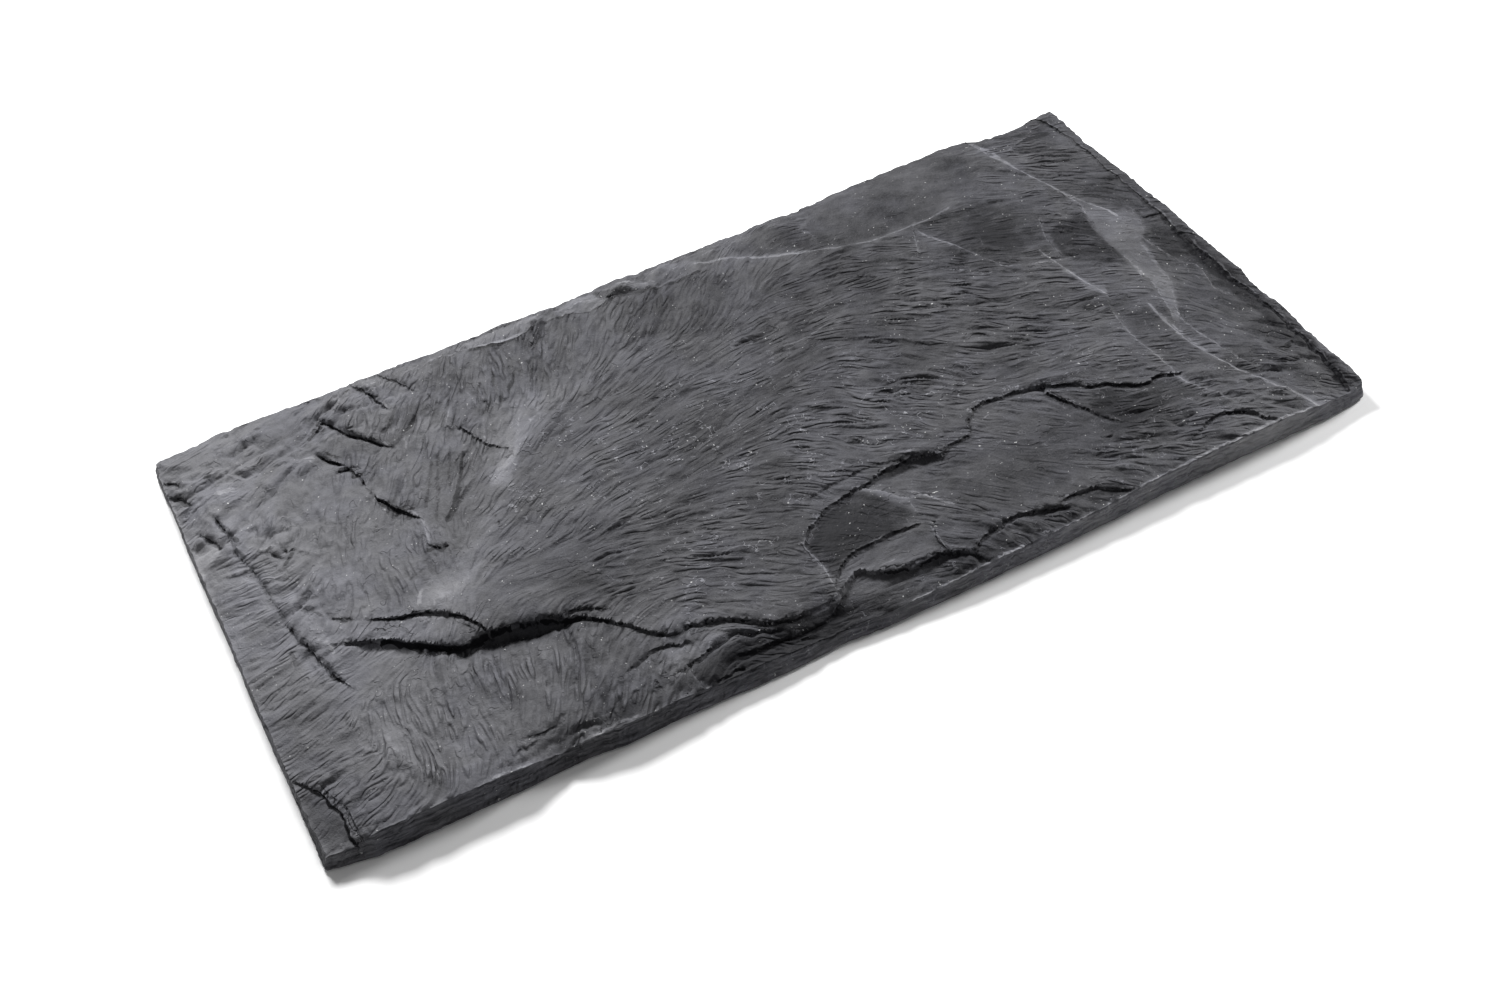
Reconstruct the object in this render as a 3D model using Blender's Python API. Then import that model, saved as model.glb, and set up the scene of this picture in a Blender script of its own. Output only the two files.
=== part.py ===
"""Riven slate slab: one natural piece, split face up, edges dressed by hand.

The frame is in metres: +X along the slab, +Y away from the near long edge, +Z up out of
the split face, with the origin at the middle of the underside.

The split face is a sum of steps. Each step is the broken edge of a sheet of stone, an open
line along which the surface drops, with the drop dying away on both sides. The tables below
are in millimetres and hold the positions read for each line.
"""

import math
import random

import bpy
import numpy as np
from mathutils import Vector
from mathutils.geometry import delaunay_2d_cdt

# Driving dimensions, metres
LENGTH = 0.600
WIDTH = 0.3172
HEIGHT = 0.0174

# Driving dimensions, millimetres
FACE_LEVEL = 13.6
FOOT_SET_BACK = 1.1
FOOT_HEIGHT = 1.6
WALL_MIDDLE_HEIGHT = 5.0
WALL_MIDDLE_SHARE = 0.45
RIM_SPACING = 9.0
FACE_SPACING = 8.8
UNDERSIDE_SPACING = 34.0
STEP_CLEARANCE = 3.2
RIM_CLEARANCE = 2.2
LEAST_STEP = 0.55
RAGGED_EDGE = 0.35
ROUGH_FACE = 0.12
RIM_BLEND = 13.0
SEED = 8

# Outline of the slab at its widest, anticlockwise from the near left corner: x, y, how far
# the top edge lies inside it, and the height of the top edge
OUTLINE = (
    (-300.8, -153.8, 3.0, 7.8), (-290.0, -156.3, 3.2, 8.6), (-281.0, -157.9, 3.6, 9.8),
    (-276.0, -158.5, 3.8, 13.2), (-262.0, -159.2, 4.0, 13.8), (-232.0, -159.0, 4.0, 13.6),
    (-201.0, -159.3, 3.6, 13.2), (-190.0, -158.7, 4.0, 10.4), (-180.0, -158.5, 4.0, 8.8),
    (-169.0, -158.1, 3.0, 11.6), (-149.0, -160.5, 3.2, 12.4), (-117.0, -159.8, 3.0, 11.8),
    (-95.0, -160.6, 4.0, 9.6), (-73.0, -161.4, 5.0, 9.6), (-51.0, -161.1, 4.4, 8.4),
    (-39.0, -160.6, 4.0, 7.2), (-27.0, -159.6, 3.4, 6.8), (-16.0, -160.9, 3.8, 7.2),
    (-5.0, -161.6, 3.8, 7.4), (18.0, -161.9, 3.4, 8.0), (35.0, -161.9, 3.0, 9.2),
    (53.0, -161.7, 3.0, 10.0), (90.0, -160.9, 3.0, 10.4), (115.0, -160.6, 2.8, 11.0),
    (141.0, -159.7, 2.8, 11.6), (154.0, -158.7, 2.8, 12.2), (180.0, -158.4, 3.0, 12.6),
    (206.0, -158.0, 3.0, 12.8), (246.0, -158.4, 3.0, 12.8), (262.0, -158.3, 3.0, 11.2),
    (273.0, -158.1, 3.0, 9.8), (288.0, -157.5, 3.0, 9.0), (293.0, -156.8, 3.0, 9.2),
    (298.6, -155.3, 2.6, 10.0), (301.2, -152.3, 2.2, 10.6), (301.8, -140.0, 2.0, 11.4),
    (301.3, -115.0, 1.8, 11.8), (301.6, -100.0, 2.0, 12.0), (302.6, -84.0, 2.0, 12.4),
    (302.6, -75.0, 2.0, 12.4), (301.2, -63.0, 2.0, 12.4), (301.4, -54.0, 2.0, 12.8),
    (303.2, -44.0, 1.8, 13.2), (302.2, -22.0, 1.8, 13.4), (301.6, 1.0, 1.8, 13.4),
    (302.8, 12.0, 1.8, 13.4), (302.9, 36.0, 1.8, 13.2), (301.8, 48.0, 2.0, 12.8),
    (302.7, 60.0, 2.0, 12.8), (302.6, 72.0, 2.0, 12.6), (301.5, 86.0, 2.0, 12.4),
    (301.8, 98.0, 2.0, 12.2), (300.7, 112.0, 2.0, 12.2), (302.0, 137.0, 2.0, 12.4),
    (301.0, 151.4, 2.4, 12.6), (292.0, 153.0, 2.0, 11.6), (276.0, 151.5, 2.0, 10.4),
    (260.0, 150.6, 2.0, 10.4), (246.0, 151.4, 2.0, 10.4), (236.0, 156.2, 2.0, 10.4),
    (219.0, 158.2, 2.0, 10.2), (204.0, 157.0, 2.0, 10.2), (174.0, 157.0, 2.0, 10.0),
    (144.0, 155.6, 2.2, 10.0), (114.0, 153.6, 2.2, 9.8), (87.0, 155.0, 2.2, 9.4),
    (72.0, 154.0, 2.2, 9.2), (58.0, 154.8, 2.2, 9.0), (44.0, 153.7, 2.2, 9.0),
    (17.0, 154.6, 2.2, 8.6), (3.0, 154.5, 2.2, 8.6), (-10.0, 155.9, 2.2, 8.6),
    (-23.0, 155.6, 2.2, 8.6), (-37.0, 153.6, 2.2, 8.6), (-51.0, 152.6, 2.2, 8.6),
    (-63.0, 154.0, 2.2, 8.6), (-76.0, 153.8, 2.2, 8.6), (-88.0, 155.2, 2.2, 8.6),
    (-102.0, 153.3, 2.2, 8.6), (-115.0, 153.9, 2.2, 8.6), (-128.0, 152.8, 2.2, 8.6),
    (-152.0, 154.9, 2.2, 8.6), (-165.0, 153.9, 2.2, 8.6), (-177.0, 154.5, 2.2, 8.6),
    (-202.0, 153.4, 2.2, 8.4), (-225.0, 154.8, 2.2, 8.2), (-261.0, 155.6, 2.2, 7.8),
    (-273.0, 153.7, 2.2, 7.8), (-285.0, 153.0, 2.2, 7.2), (-297.3, 153.0, 2.4, 7.2),
    (-300.9, 149.6, 2.2, 7.4), (-302.1, 135.0, 1.8, 7.6), (-301.7, 110.0, 1.6, 9.4),
    (-301.7, 60.0, 1.6, 11.0), (-301.3, 0.0, 1.6, 11.4), (-301.5, -60.0, 1.6, 11.2),
    (-301.1, -100.0, 1.8, 10.6), (-301.1, -128.0, 2.0, 9.0),
)

# Steps of the split face: half width, how far the drop reaches on the low side and on the
# high side, then x, y and drop along the line, with the low side on the right of travel or,
# where the drop is negative, on the left
STEPS = {
    "ledge_west": (0.45, 70, 60, (
        (-250, -40, 0.2), (-240, -44, 1.6), (-232, -47, 2.4), (-222, -54, 3.0), (-215, -60, 3.2),
        (-207, -64, 3.6), (-198, -71, 4.2), (-190, -69, 4.6), (-180, -70, 4.8), (-172, -72, 4.8),
        (-160, -75, 4.6), (-150, -80, 4.0), (-140, -84, 2.6), (-133, -90, 2.0), (-125, -98, 2.0),
        (-118, -107, 2.2), (-110, -117, 2.2), (-103, -120, 2.0), (-95, -119, 2.0),
        (-85, -122, 2.0), (-75, -126, 2.2), (-67, -132, 2.4), (-62, -137, 2.6), (-50, -140, 2.6),
        (-40, -141, 2.6), (-30, -141, 2.4), (-20, -139, 1.6), (-12, -134, 0.0))),
    "flake": (0.4, 14, 30, (
        (-236, -31, 0.0), (-230, -33, 0.7), (-225, -36, 1.0), (-218, -39, 1.3), (-208, -42, 1.4),
        (-200, -47, 1.5), (-194, -52, 1.6), (-190, -58, 1.7), (-186, -65, 1.5), (-183, -71, 0.4))),
    "flake_inner": (0.35, 8, 8, (
        (-198, -49, 0.0), (-196, -53, 0.5), (-193, -58, 0.7), (-189, -67, 0.4))),
    "wedge": (0.4, 12, 16, (
        (-147, -79, 0.0), (-142, -80, 0.8), (-135, -82, 1.0), (-128, -86, 0.7), (-122, -90, 0.0))),
    "front_sheet": (0.4, 14, 12, (
        (-140, -131, 0.0), (-128, -127, 0.9), (-120, -124, 1.0), (-112, -124, 1.1),
        (-104, -127, 0.8), (-98, -130, 0.0))),
    "pocket_top": (0.4, 18, 10, (
        (-118, -143, 0.0), (-110, -141, 0.8), (-100, -139, 1.2), (-90, -136, 1.2),
        (-78, -134, 1.0), (-70, -138, 1.2), (-60, -142, 1.0), (-52, -144, 0.0))),
    "pocket": (0.4, 16, 8, (
        (-92, -146, 0.0), (-78, -146, 1.4), (-60, -147, 1.9), (-40, -148, 1.9), (-30, -146, 1.6),
        (-20, -141, 0.8), (-14, -137, 0.0))),
    "pocket_west": (0.5, 40, 12, (
        (-103, -160, 1.2), (-106, -152, 1.2), (-107, -142, 0.8), (-108, -136, 0.0))),
    "front_fold": (0.9, 9, 12, (
        (-222, -149, 0.0), (-210, -150, 0.7), (-195, -151, 0.9), (-185, -147, 0.9),
        (-165, -148, 0.9), (-157, -150, 0.6), (-146, -151, 0.0))),
    "hollow_edge": (0.5, 50, 40, (
        (-22, -143, 0.0), (-20, -130, 0.7), (-20, -120, 0.9), (-21, -110, 1.1), (-21, -102, 1.3),
        (-14, -94, 1.7), (-8, -90, 2.0), (0, -86, 2.2), (12, -83, 2.3), (22, -81, 2.5),
        (32, -79, 2.6), (42, -77, 3.0), (55, -76, 3.2), (65, -78, 3.2), (72, -81, 3.0),
        (76, -82, 2.6), (80, -79, 2.0), (90, -77, 2.0), (97, -76, 2.4), (98, -70, 2.2),
        (103, -64, 2.2), (110, -61, 2.2), (125, -62, 2.2), (140, -64, 2.2), (147, -67, 2.3),
        (149, -75, 2.4), (153, -83, 2.4), (158, -92, 2.2), (163, -102, 1.8), (168, -109, 1.4),
        (172, -117, 0.0))),
    "upper_sheet": (0.4, 10, 14, (
        (-8, -79, 0.0), (0, -74, 0.5), (15, -72, 0.6), (30, -71, 0.6), (45, -73, 0.7),
        (60, -75, 0.5), (68, -78, 0.0))),
    "east_ledge": (0.5, 36, 30, (
        (143, -64, 0.0), (150, -68, 1.3), (155, -71, 1.6), (165, -75, 1.6), (170, -82, 1.6),
        (180, -84, 1.6), (190, -92, 1.8), (198, -95, 1.8), (205, -93, 1.8), (214, -96, 1.4),
        (222, -97, 0.0))),
    "hollow_crest": (0.7, 14, 22, (
        (64, -119, 0.0), (60, -115, 0.5), (55, -108, 0.6), (48, -102, 0.8), (45, -103, 0.9),
        (38, -97, 1.1), (30, -88, 1.2), (24, -82, 0.9), (20, -78, 0.0))),
    "hollow_lip": (0.4, 20, 20, (
        (-22, -136, 0.0), (-18, -132, 0.7), (-15, -127, 1.1), (-8, -122, 1.3), (0, -119, 1.3),
        (10, -118, 1.3), (22, -117, 1.3), (35, -119, 1.0), (40, -119, 0.0))),
    "front_ledge": (0.45, 30, 22, (
        (-26, -141, 0.0), (-20, -138, 1.2), (-12, -133, 2.2), (-5, -130, 2.6), (0, -133, 2.8),
        (8, -138, 3.0), (18, -141, 3.0), (30, -142, 3.0), (38, -142, 2.8), (45, -146, 2.6),
        (52, -150, 2.0), (56, -156, 0.8))),
    "notch": (0.6, 12, 10, (
        (58, -118, 0.0), (52, -121, 0.5), (44, -125, 1.0), (42, -129, 1.2), (40, -134, 1.2),
        (41, -142, 0.8), (43, -147, 0.0))),
    "scallop_a": (0.4, 18, 10, (
        (52, -153, 0.3), (55, -148, 0.9), (62, -144, 1.3), (70, -141, 1.5), (80, -140, 1.6),
        (90, -141, 1.6), (98, -144, 1.4), (108, -147, 0.8), (114, -149, 0.0))),
    "scallop_b": (0.4, 16, 10, (
        (104, -146, 0.0), (112, -143, 0.9), (122, -143, 1.2), (130, -145, 1.3), (136, -150, 1.2),
        (145, -154, 0.8))),
    "scallop_c": (0.4, 16, 10, (
        (190, -144, 0.0), (200, -139, 0.8), (208, -136, 1.2), (218, -135, 1.4), (226, -138, 1.6),
        (232, -143, 1.6), (236, -149, 1.3), (241, -154, 0.8))),
    "east_low": (0.9, 36, 40, (
        (229, -136, 0.0), (227, -128, 0.7), (223, -117, 1.0), (218, -108, 1.1), (215, -98, 1.2),
        (215, -88, 1.2), (214, -75, 1.3), (213, -62, 1.3), (214, -50, 1.3), (216, -38, 1.3),
        (220, -28, 1.3), (224, -20, 1.2), (229, -10, 0.6), (232, -3, 0.0))),
    "east_middle": (0.9, 20, 20, (
        (224, -24, 0.0), (222, -18, 0.9), (218, -5, 1.0), (216, 8, 1.1), (214, 20, 1.0),
        (213, 30, 0.5), (212, 36, 0.0))),
    "east_band": (1.3, 40, 40, (
        (270, -158, 0.9), (266, -152, 1.2), (263, -145, 1.4), (257, -132, 1.6), (251, -119, 1.7),
        (246, -107, 1.7), (243, -98, 1.7), (240, -88, 1.6), (238, -75, 1.5), (237, -62, 1.3),
        (237, -52, 1.0), (238, -40, 0.7), (239, -30, 0.0))),
    "east_facet": (0.8, 26, 22, (
        (240, -68, 0.0), (242, -62, 0.6), (245, -50, 1.0), (248, -35, 1.1), (250, -15, 1.1),
        (251, 0, 1.1), (251, 15, 1.0), (252, 35, 0.8), (255, 50, 0.5), (257, 58, 0.0))),
    "north_east_arc": (1.0, 30, 30, (
        (274, 30, 0.0), (272, 38, 0.5), (270, 45, 0.8), (264, 55, 1.1), (258, 65, 1.3),
        (255, 78, 1.5), (252, 90, 1.6), (248, 103, 1.6), (244, 117, 1.6), (240, 128, 1.5),
        (238, 138, 1.3), (237, 150, 1.0))),
    "smooth_facet": (2.2, 60, 34, (
        (200, 100, 0.0), (190, 98, 1.0), (178, 96, 1.4), (165, 95, 1.7), (158, 94, 1.9),
        (145, 94, 2.1), (130, 95, 2.2), (120, 98, 2.2), (108, 103, 2.1), (97, 107, 2.0),
        (88, 110, 1.9), (75, 115, 1.7), (66, 120, 1.5), (58, 128, 1.2), (45, 130, 1.0),
        (36, 135, 0.7), (28, 139, 0.0))),
    "smooth_facet_west": (0.8, 20, 20, (
        (107, 104, 0.0), (105, 110, -0.6), (106, 120, -0.8), (104, 130, -0.8), (112, 136, -0.6),
        (125, 144, 0.0))),
    "dark_hollow_north": (0.5, 24, 20, (
        (158, 94, 0.0), (165, 93, 0.6), (185, 92, 0.9), (200, 90, 1.0), (212, 90, 1.0),
        (225, 86, 1.0), (235, 81, 0.9), (250, 80, 0.6), (256, 80, 0.0))),
    "dark_hollow_west": (0.9, 46, 24, (
        (226, 18, 0.0), (213, 20, 1.0), (205, 22, 1.2), (195, 26, 1.4), (186, 33, 1.6),
        (183, 40, 1.7), (179, 50, 1.6), (175, 62, 1.5), (170, 72, 1.4), (164, 82, 1.1),
        (162, 92, 0.6), (161, 97, 0.0))),
    "dark_hollow_east": (0.7, 10, 10, (
        (222, 20, 0.0), (221, 25, 0.6), (222, 38, 0.9), (225, 45, 0.8), (228, 55, 0.5),
        (230, 62, 0.0))),
    "east_vein": (0.5, 8, 8, (
        (272, 16, 0.0), (273, 10, -0.6), (275, -2, -0.7), (278, -17, -0.7), (284, -24, -0.6),
        (282, -38, -0.6), (279, -48, -0.6), (283, -57, -0.5), (284, -64, 0.0))),
    "corner_arc": (0.8, 14, 14, (
        (292, 126, 0.0), (288, 129, 0.5), (283, 133, 0.7), (275, 136, 0.7), (266, 134, 0.6),
        (258, 131, 0.5), (250, 127, 0.0))),
    "east_lip": (0.6, 22, 8, (
        (290, -152, -1.4), (293, -140, -2.2), (294, -120, -2.0), (295, -100, -1.2),
        (296, -80, -0.8), (295, -62, -1.2), (294, -46, -1.8), (294, -20, -1.9), (294, 10, -1.9),
        (295, 30, -1.5), (295, 50, -0.9), (295, 70, -0.7), (295, 95, -0.8), (294, 120, -0.9),
        (290, 140, -1.2), (287, 152, -0.8))),
    "west_edge_fold": (0.6, 16, 24, (
        (-253, -72, 0.0), (-256, -65, -0.8), (-259, -58, -1.2), (-262, -47, -1.4),
        (-265, -38, -1.4), (-267, -28, -1.3), (-270, -18, -1.0), (-271, -8, 0.0))),
    "west_groove": (0.6, 10, 14, (
        (-270, -18, 0.0), (-271, 0, -0.8), (-272, 15, -1.0), (-274, 30, -1.1), (-277, 43, -1.1),
        (-279, 50, -0.9), (-278, 57, -0.9), (-279, 68, -0.9), (-281, 78, -0.6), (-282, 84, 0.0))),
    "west_groove_upper": (0.5, 8, 10, (
        (-284, 56, 0.0), (-285, 60, -0.8), (-288, 68, -0.9), (-292, 75, -0.7), (-294, 80, 0.0))),
    "corner_step_a": (0.5, 8, 10, (
        (-290, 115, 0.0), (-291, 120, -0.9), (-294, 127, -1.0), (-298, 130, -0.7))),
    "corner_step_b": (0.5, 8, 10, (
        (-289, 99, 0.0), (-290, 103, -0.8), (-294, 111, -0.8), (-299, 117, -0.6))),
    "west_slope": (1.4, 30, 40, (
        (-272, -158, -0.5), (-273, -142, -0.6), (-272, -130, -0.6), (-271, -120, -0.6),
        (-268, -110, -0.6), (-264, -100, -0.7), (-264, -82, -0.7), (-264, -65, 0.0))),
    "corner_sheet": (0.5, 30, 16, (
        (-283, -160, -2.6), (-283, -150, -2.4), (-284, -137, -2.0), (-286, -128, -1.7),
        (-288, -120, -1.5), (-291, -115, -1.3), (-294, -110, -1.0), (-300, -103, -0.6))),
    "zigzag": (0.5, 7, 8, (
        (-252, 28, 0.0), (-257, 33, -0.6), (-262, 38, -0.7), (-266, 42, -0.6), (-270, 48, 0.0))),
    "west_facet": (0.5, 26, 26, (
        (-209, 131, 0.0), (-206, 125, 0.9), (-203, 118, 1.3), (-199, 110, 1.5), (-195, 102, 1.6),
        (-190, 96, 1.6), (-185, 90, 1.4), (-181, 85, 0.8), (-177, 80, 0.0))),
    "west_facet_east": (1.6, 20, 26, (
        (-186, 82, 0.0), (-182, 87, -0.9), (-172, 97, -1.3), (-165, 105, -1.3),
        (-160, 113, -1.0), (-155, 118, -0.6), (-150, 122, 0.0))),
    "far_line_a": (0.4, 10, 12, (
        (-181, 149, 0.5), (-179, 144, 1.0), (-177, 135, 1.2), (-174, 125, 1.1), (-172, 115, 0.8),
        (-170, 110, 0.0))),
    "far_line_b": (0.4, 10, 12, (
        (-165, 150, 0.4), (-163, 145, 0.8), (-160, 138, 0.9), (-157, 128, 0.8), (-153, 120, 0.4),
        (-151, 116, 0.0))),
    "crack": (0.4, 10, 12, (
        (-219, 100, 0.0), (-216, 96, 0.8), (-212, 90, 1.2), (-209, 86, 1.2), (-207, 82, 0.9),
        (-205, 78, 0.9), (-204, 72, 1.2), (-202, 66, 1.2), (-202, 58, 1.0), (-200, 48, 1.3),
        (-197, 42, 1.5), (-193, 34, 1.6), (-190, 30, 1.5), (-188, 25, 1.2), (-185, 22, 0.6),
        (-183, 17, 0.0))),
    "crack_east": (0.5, 9, 10, (
        (-142, 78, 0.0), (-140, 73, 0.8), (-137, 66, 1.0), (-134, 58, 1.0), (-131, 53, 0.8),
        (-126, 48, 0.5), (-122, 45, 0.0))),
    "far_chips": (1.6, 14, 22, (
        (36, 128, 0.0), (25, 127, 0.9), (15, 128, 1.2), (5, 126, 1.4), (0, 128, 1.6),
        (-10, 131, 1.8), (-18, 133, 1.8), (-25, 133, 1.6), (-38, 129, 1.8), (-45, 130, 1.8),
        (-55, 135, 1.6), (-65, 136, 1.6), (-80, 131, 1.8), (-95, 132, 1.6), (-110, 137, 1.2),
        (-122, 140, 0.0))),
}

# Broad swells of the split face: x, y, two radii, angle in degrees and height
SWELLS = (
    (0, 0, 200, 112, -8, 2.0), (-110, 90, 60, 46, 60, 0.6), (-165, -18, 55, 14, 35, 0.5),
    (-140, 20, 50, 12, 52, 0.5), (-165, 95, 18, 14, 40, -1.6), (-225, -110, 70, 46, 0, 0.4),
    (-10, -158, 62, 24, 0, -3.0), (100, -112, 60, 30, 0, -0.9), (190, -122, 34, 20, 0, -0.8),
    (284, -70, 26, 90, 0, -2.6), (282, 60, 24, 70, 0, -1.2), (150, 130, 110, 22, 0, -0.7),
    (-30, 158, 190, 16, 0, -2.4), (-262, 140, 90, 34, 0, -3.0), (-298, 20, 14, 120, 0, -1.2),
    (-296, -130, 14, 30, 0, -1.4), (-250, 95, 50, 46, 0, -0.4),
)

# Shallow flakes lost from the underside: x, y, two radii, angle in degrees and depth
UNDERSIDE_FLAKES = (
    (-210, 70, 46, 22, 24, 0.7), (-120, -88, 60, 20, -12, 0.9), (-30, 60, 44, 26, 40, 0.6),
    (60, -60, 50, 24, 8, 0.8), (140, 84, 54, 20, -20, 0.7), (220, -40, 34, 24, 60, 0.9),
)


def outline_point(position):
    """Outline values at a position counted in outline points."""
    count = len(OUTLINE)
    first = int(position) % count
    second = (first + 1) % count
    share = position - int(position)
    here = np.array(OUTLINE[first])
    return here + (np.array(OUTLINE[second]) - here) * share


def rim_rings(rng):
    """Rings of points round the edge, from the underside up to the top edge."""
    samples = []
    for index, point in enumerate(OUTLINE):
        after = OUTLINE[(index + 1) % len(OUTLINE)]
        pieces = max(1, round(math.dist(point[:2], after[:2]) / RIM_SPACING))
        samples += [outline_point(index + step / pieces) for step in range(pieces)]
    samples = np.array(samples)
    along = np.roll(samples[:, :2], -1, axis=0) - np.roll(samples[:, :2], 1, axis=0)
    along /= np.linalg.norm(along, axis=1)[:, None]
    inward = np.stack([-along[:, 1], along[:, 0]], axis=1)
    ragged = np.array([[rng.uniform(-1, 1) for _ in range(4)] for _ in samples]) * RAGGED_EDGE
    widest = samples[:, :2] + inward * np.abs(ragged[:, :1])
    inset = samples[:, 2:3]
    top = widest + inward * (inset + ragged[:, 1:2])
    middle = widest + inward * (inset * WALL_MIDDLE_SHARE + ragged[:, 2:3])
    foot = widest + inward * FOOT_SET_BACK
    return {
        "foot": np.column_stack([foot, np.zeros(len(foot))]),
        "widest": np.column_stack([widest, FOOT_HEIGHT + ragged[:, 3]]),
        "middle": np.column_stack([middle, WALL_MIDDLE_HEIGHT + 2 * ragged[:, 3]]),
        "top": np.column_stack([top, samples[:, 3] + ragged[:, 1]]),
    }


def step_height(points, step):
    """What one step adds to the height at the points: half its drop up, half down."""
    width, reach_low, reach_high, line = step
    line = np.array(line, float)
    ends = line[1:, :2] - line[:-1, :2]
    lengths = np.linalg.norm(ends, axis=1)
    ends /= lengths[:, None]
    sides = np.column_stack([ends[:, 1], -ends[:, 0]])
    corners = np.vstack([sides[:1], sides[:-1] + sides[1:], sides[-1:]])
    corners /= np.linalg.norm(corners, axis=1)[:, None]
    total = np.zeros(len(points))
    weight = np.zeros(len(points))
    for index, length in enumerate(lengths):
        start = line[index]
        offset = points - start[:2]
        share = np.clip(offset @ ends[index] / length, 0, 1)
        nearest = offset - share[:, None] * ends[index] * length
        distance = np.linalg.norm(nearest, axis=1)
        side = corners[index] + share[:, None] * (corners[index + 1] - corners[index])
        drop = start[2] + share * (line[index + 1, 2] - start[2])
        signed = distance * np.sign((nearest * side).sum(axis=1)) * np.sign(drop)
        reach = np.where(signed > 0, reach_low, reach_high)
        value = np.tanh(signed / width) * np.exp(-((distance / reach) ** 1.4))
        pull = length / (distance + 0.3) ** 3
        total -= pull * np.abs(drop) / 2 * value
        weight += pull
    return total / weight


def face_height(points):
    """Height of the split face at plan points, in millimetres."""
    height = np.full(len(points), FACE_LEVEL)
    for x, y, radius_u, radius_v, angle, rise in SWELLS:
        turn = math.radians(angle)
        u = ((points[:, 0] - x) * math.cos(turn) + (points[:, 1] - y) * math.sin(turn)) / radius_u
        v = ((points[:, 1] - y) * math.cos(turn) - (points[:, 0] - x) * math.sin(turn)) / radius_v
        height += rise * np.exp(-(u * u + v * v))
    for step in STEPS.values():
        height += step_height(points, step)
    return height


def distance_to_ring(points, ring):
    """Distance from each point to a closed ring, with points outside it negative."""
    closest = np.full(len(points), np.inf)
    inside = np.zeros(len(points), bool)
    for start, end in zip(ring, np.roll(ring, -1, axis=0)):
        edge = end - start
        offset = points - start
        share = np.clip(offset @ edge / (edge @ edge), 0, 1)
        gap = np.linalg.norm(offset - share[:, None] * edge, axis=1)
        closest = np.minimum(closest, gap)
        crosses = (start[1] > points[:, 1]) != (end[1] > points[:, 1])
        if start[1] != end[1]:
            at = start[0] + (points[:, 1] - start[1]) * edge[0] / edge[1]
            inside ^= crosses & (points[:, 0] < at)
    return np.where(inside, closest, -closest)


def rim_blend(points, ring):
    """What brings the face to the height of the top edge, dying away from the rim."""
    needed = ring[:, 2] - face_height(ring[:, :2])
    gaps = np.linalg.norm(points[:, None] - ring[None, :, :2], axis=2)
    pull = 1 / (gaps + 0.2) ** 4
    closest = distance_to_ring(points, ring[:, :2])
    return (pull * needed).sum(axis=1) / pull.sum(axis=1) * np.exp(-((closest / RIM_BLEND) ** 2))


def step_lines(ring):
    """Crest and foot of each step as runs of plan points that lie inside the ring."""
    runs = []
    for width, _, _, line in STEPS.values():
        line = np.array(line, float)
        along = np.gradient(line[:, :2], axis=0)
        along /= np.linalg.norm(along, axis=1)[:, None]
        side = np.column_stack([along[:, 1], -along[:, 0]])
        strong = np.abs(line[:, 2]) >= LEAST_STEP
        for offset in (-1.3 * width, 1.3 * width):
            moved = line[:, :2] + side * offset
            keep = strong & (distance_to_ring(moved, ring) > RIM_CLEARANCE)
            run = []
            for point, kept in zip(moved, keep):
                if kept:
                    run.append(point)
                elif run:
                    runs.append(run)
                    run = []
            if run:
                runs.append(run)
    return [run for run in runs if len(run) > 1]


def scattered(ring, spacing, clearance, keep_off, rng):
    """Jittered grid of plan points inside a ring, clear of other points."""
    low, high = ring.min(axis=0), ring.max(axis=0)
    points = []
    rows = int((high[1] - low[1]) / spacing)
    columns = int((high[0] - low[0]) / spacing)
    for row in range(rows + 1):
        for column in range(columns + 1):
            x = low[0] + (column + 0.5 * (row % 2) + rng.uniform(-0.3, 0.3)) * spacing
            y = low[1] + (row + rng.uniform(-0.3, 0.3)) * spacing
            points.append((x, y))
    points = np.array(points)
    points = points[distance_to_ring(points, ring) > clearance]
    if len(keep_off):
        gaps = np.linalg.norm(points[:, None] - keep_off[None], axis=2).min(axis=1)
        points = points[gaps > STEP_CLEARANCE]
    return points


def triangulated(ring, lines, loose):
    """Plan triangles that fill a ring and follow the lines, with the ring's points first."""
    points = [Vector(point) for point in ring]
    border = list(range(len(ring)))
    edges = []
    for line in lines:
        first = len(points)
        points += [Vector(point) for point in line]
        edges += [(first + step, first + step + 1) for step in range(len(line) - 1)]
    points += [Vector(point) for point in loose]
    found, _, faces, sources, _, _ = delaunay_2d_cdt(points, edges, [border], 1, 0.05)
    order = {}
    for index, source in enumerate(sources):
        for original in source:
            if original < len(ring):
                order[original] = index
    if len(order) != len(ring):
        raise RuntimeError("a point of the rim was lost")
    ranked = [order[index] for index in border]
    ranked += sorted(set(range(len(found))) - set(ranked))
    place = {index: rank for rank, index in enumerate(ranked)}
    plan = np.array([found[index] for index in ranked])
    triangles = [tuple(place[index] for index in face) for face in faces]
    return plan, triangles


def top_surface(rings, rng):
    """Points and triangles of the split face inside the top edge."""
    ring = rings["top"][:, :2]
    lines = step_lines(ring)
    keep_off = np.vstack(lines)
    loose = scattered(ring, FACE_SPACING, RIM_CLEARANCE + 1, keep_off, rng)
    plan, triangles = triangulated(ring, lines, loose)
    rough = np.array([rng.gauss(0, ROUGH_FACE) for _ in range(len(plan))])
    height = face_height(plan) + rim_blend(plan, rings["top"]) + rough
    height[:len(ring)] = rings["top"][:, 2]
    return np.column_stack([plan, height]), triangles


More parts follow.
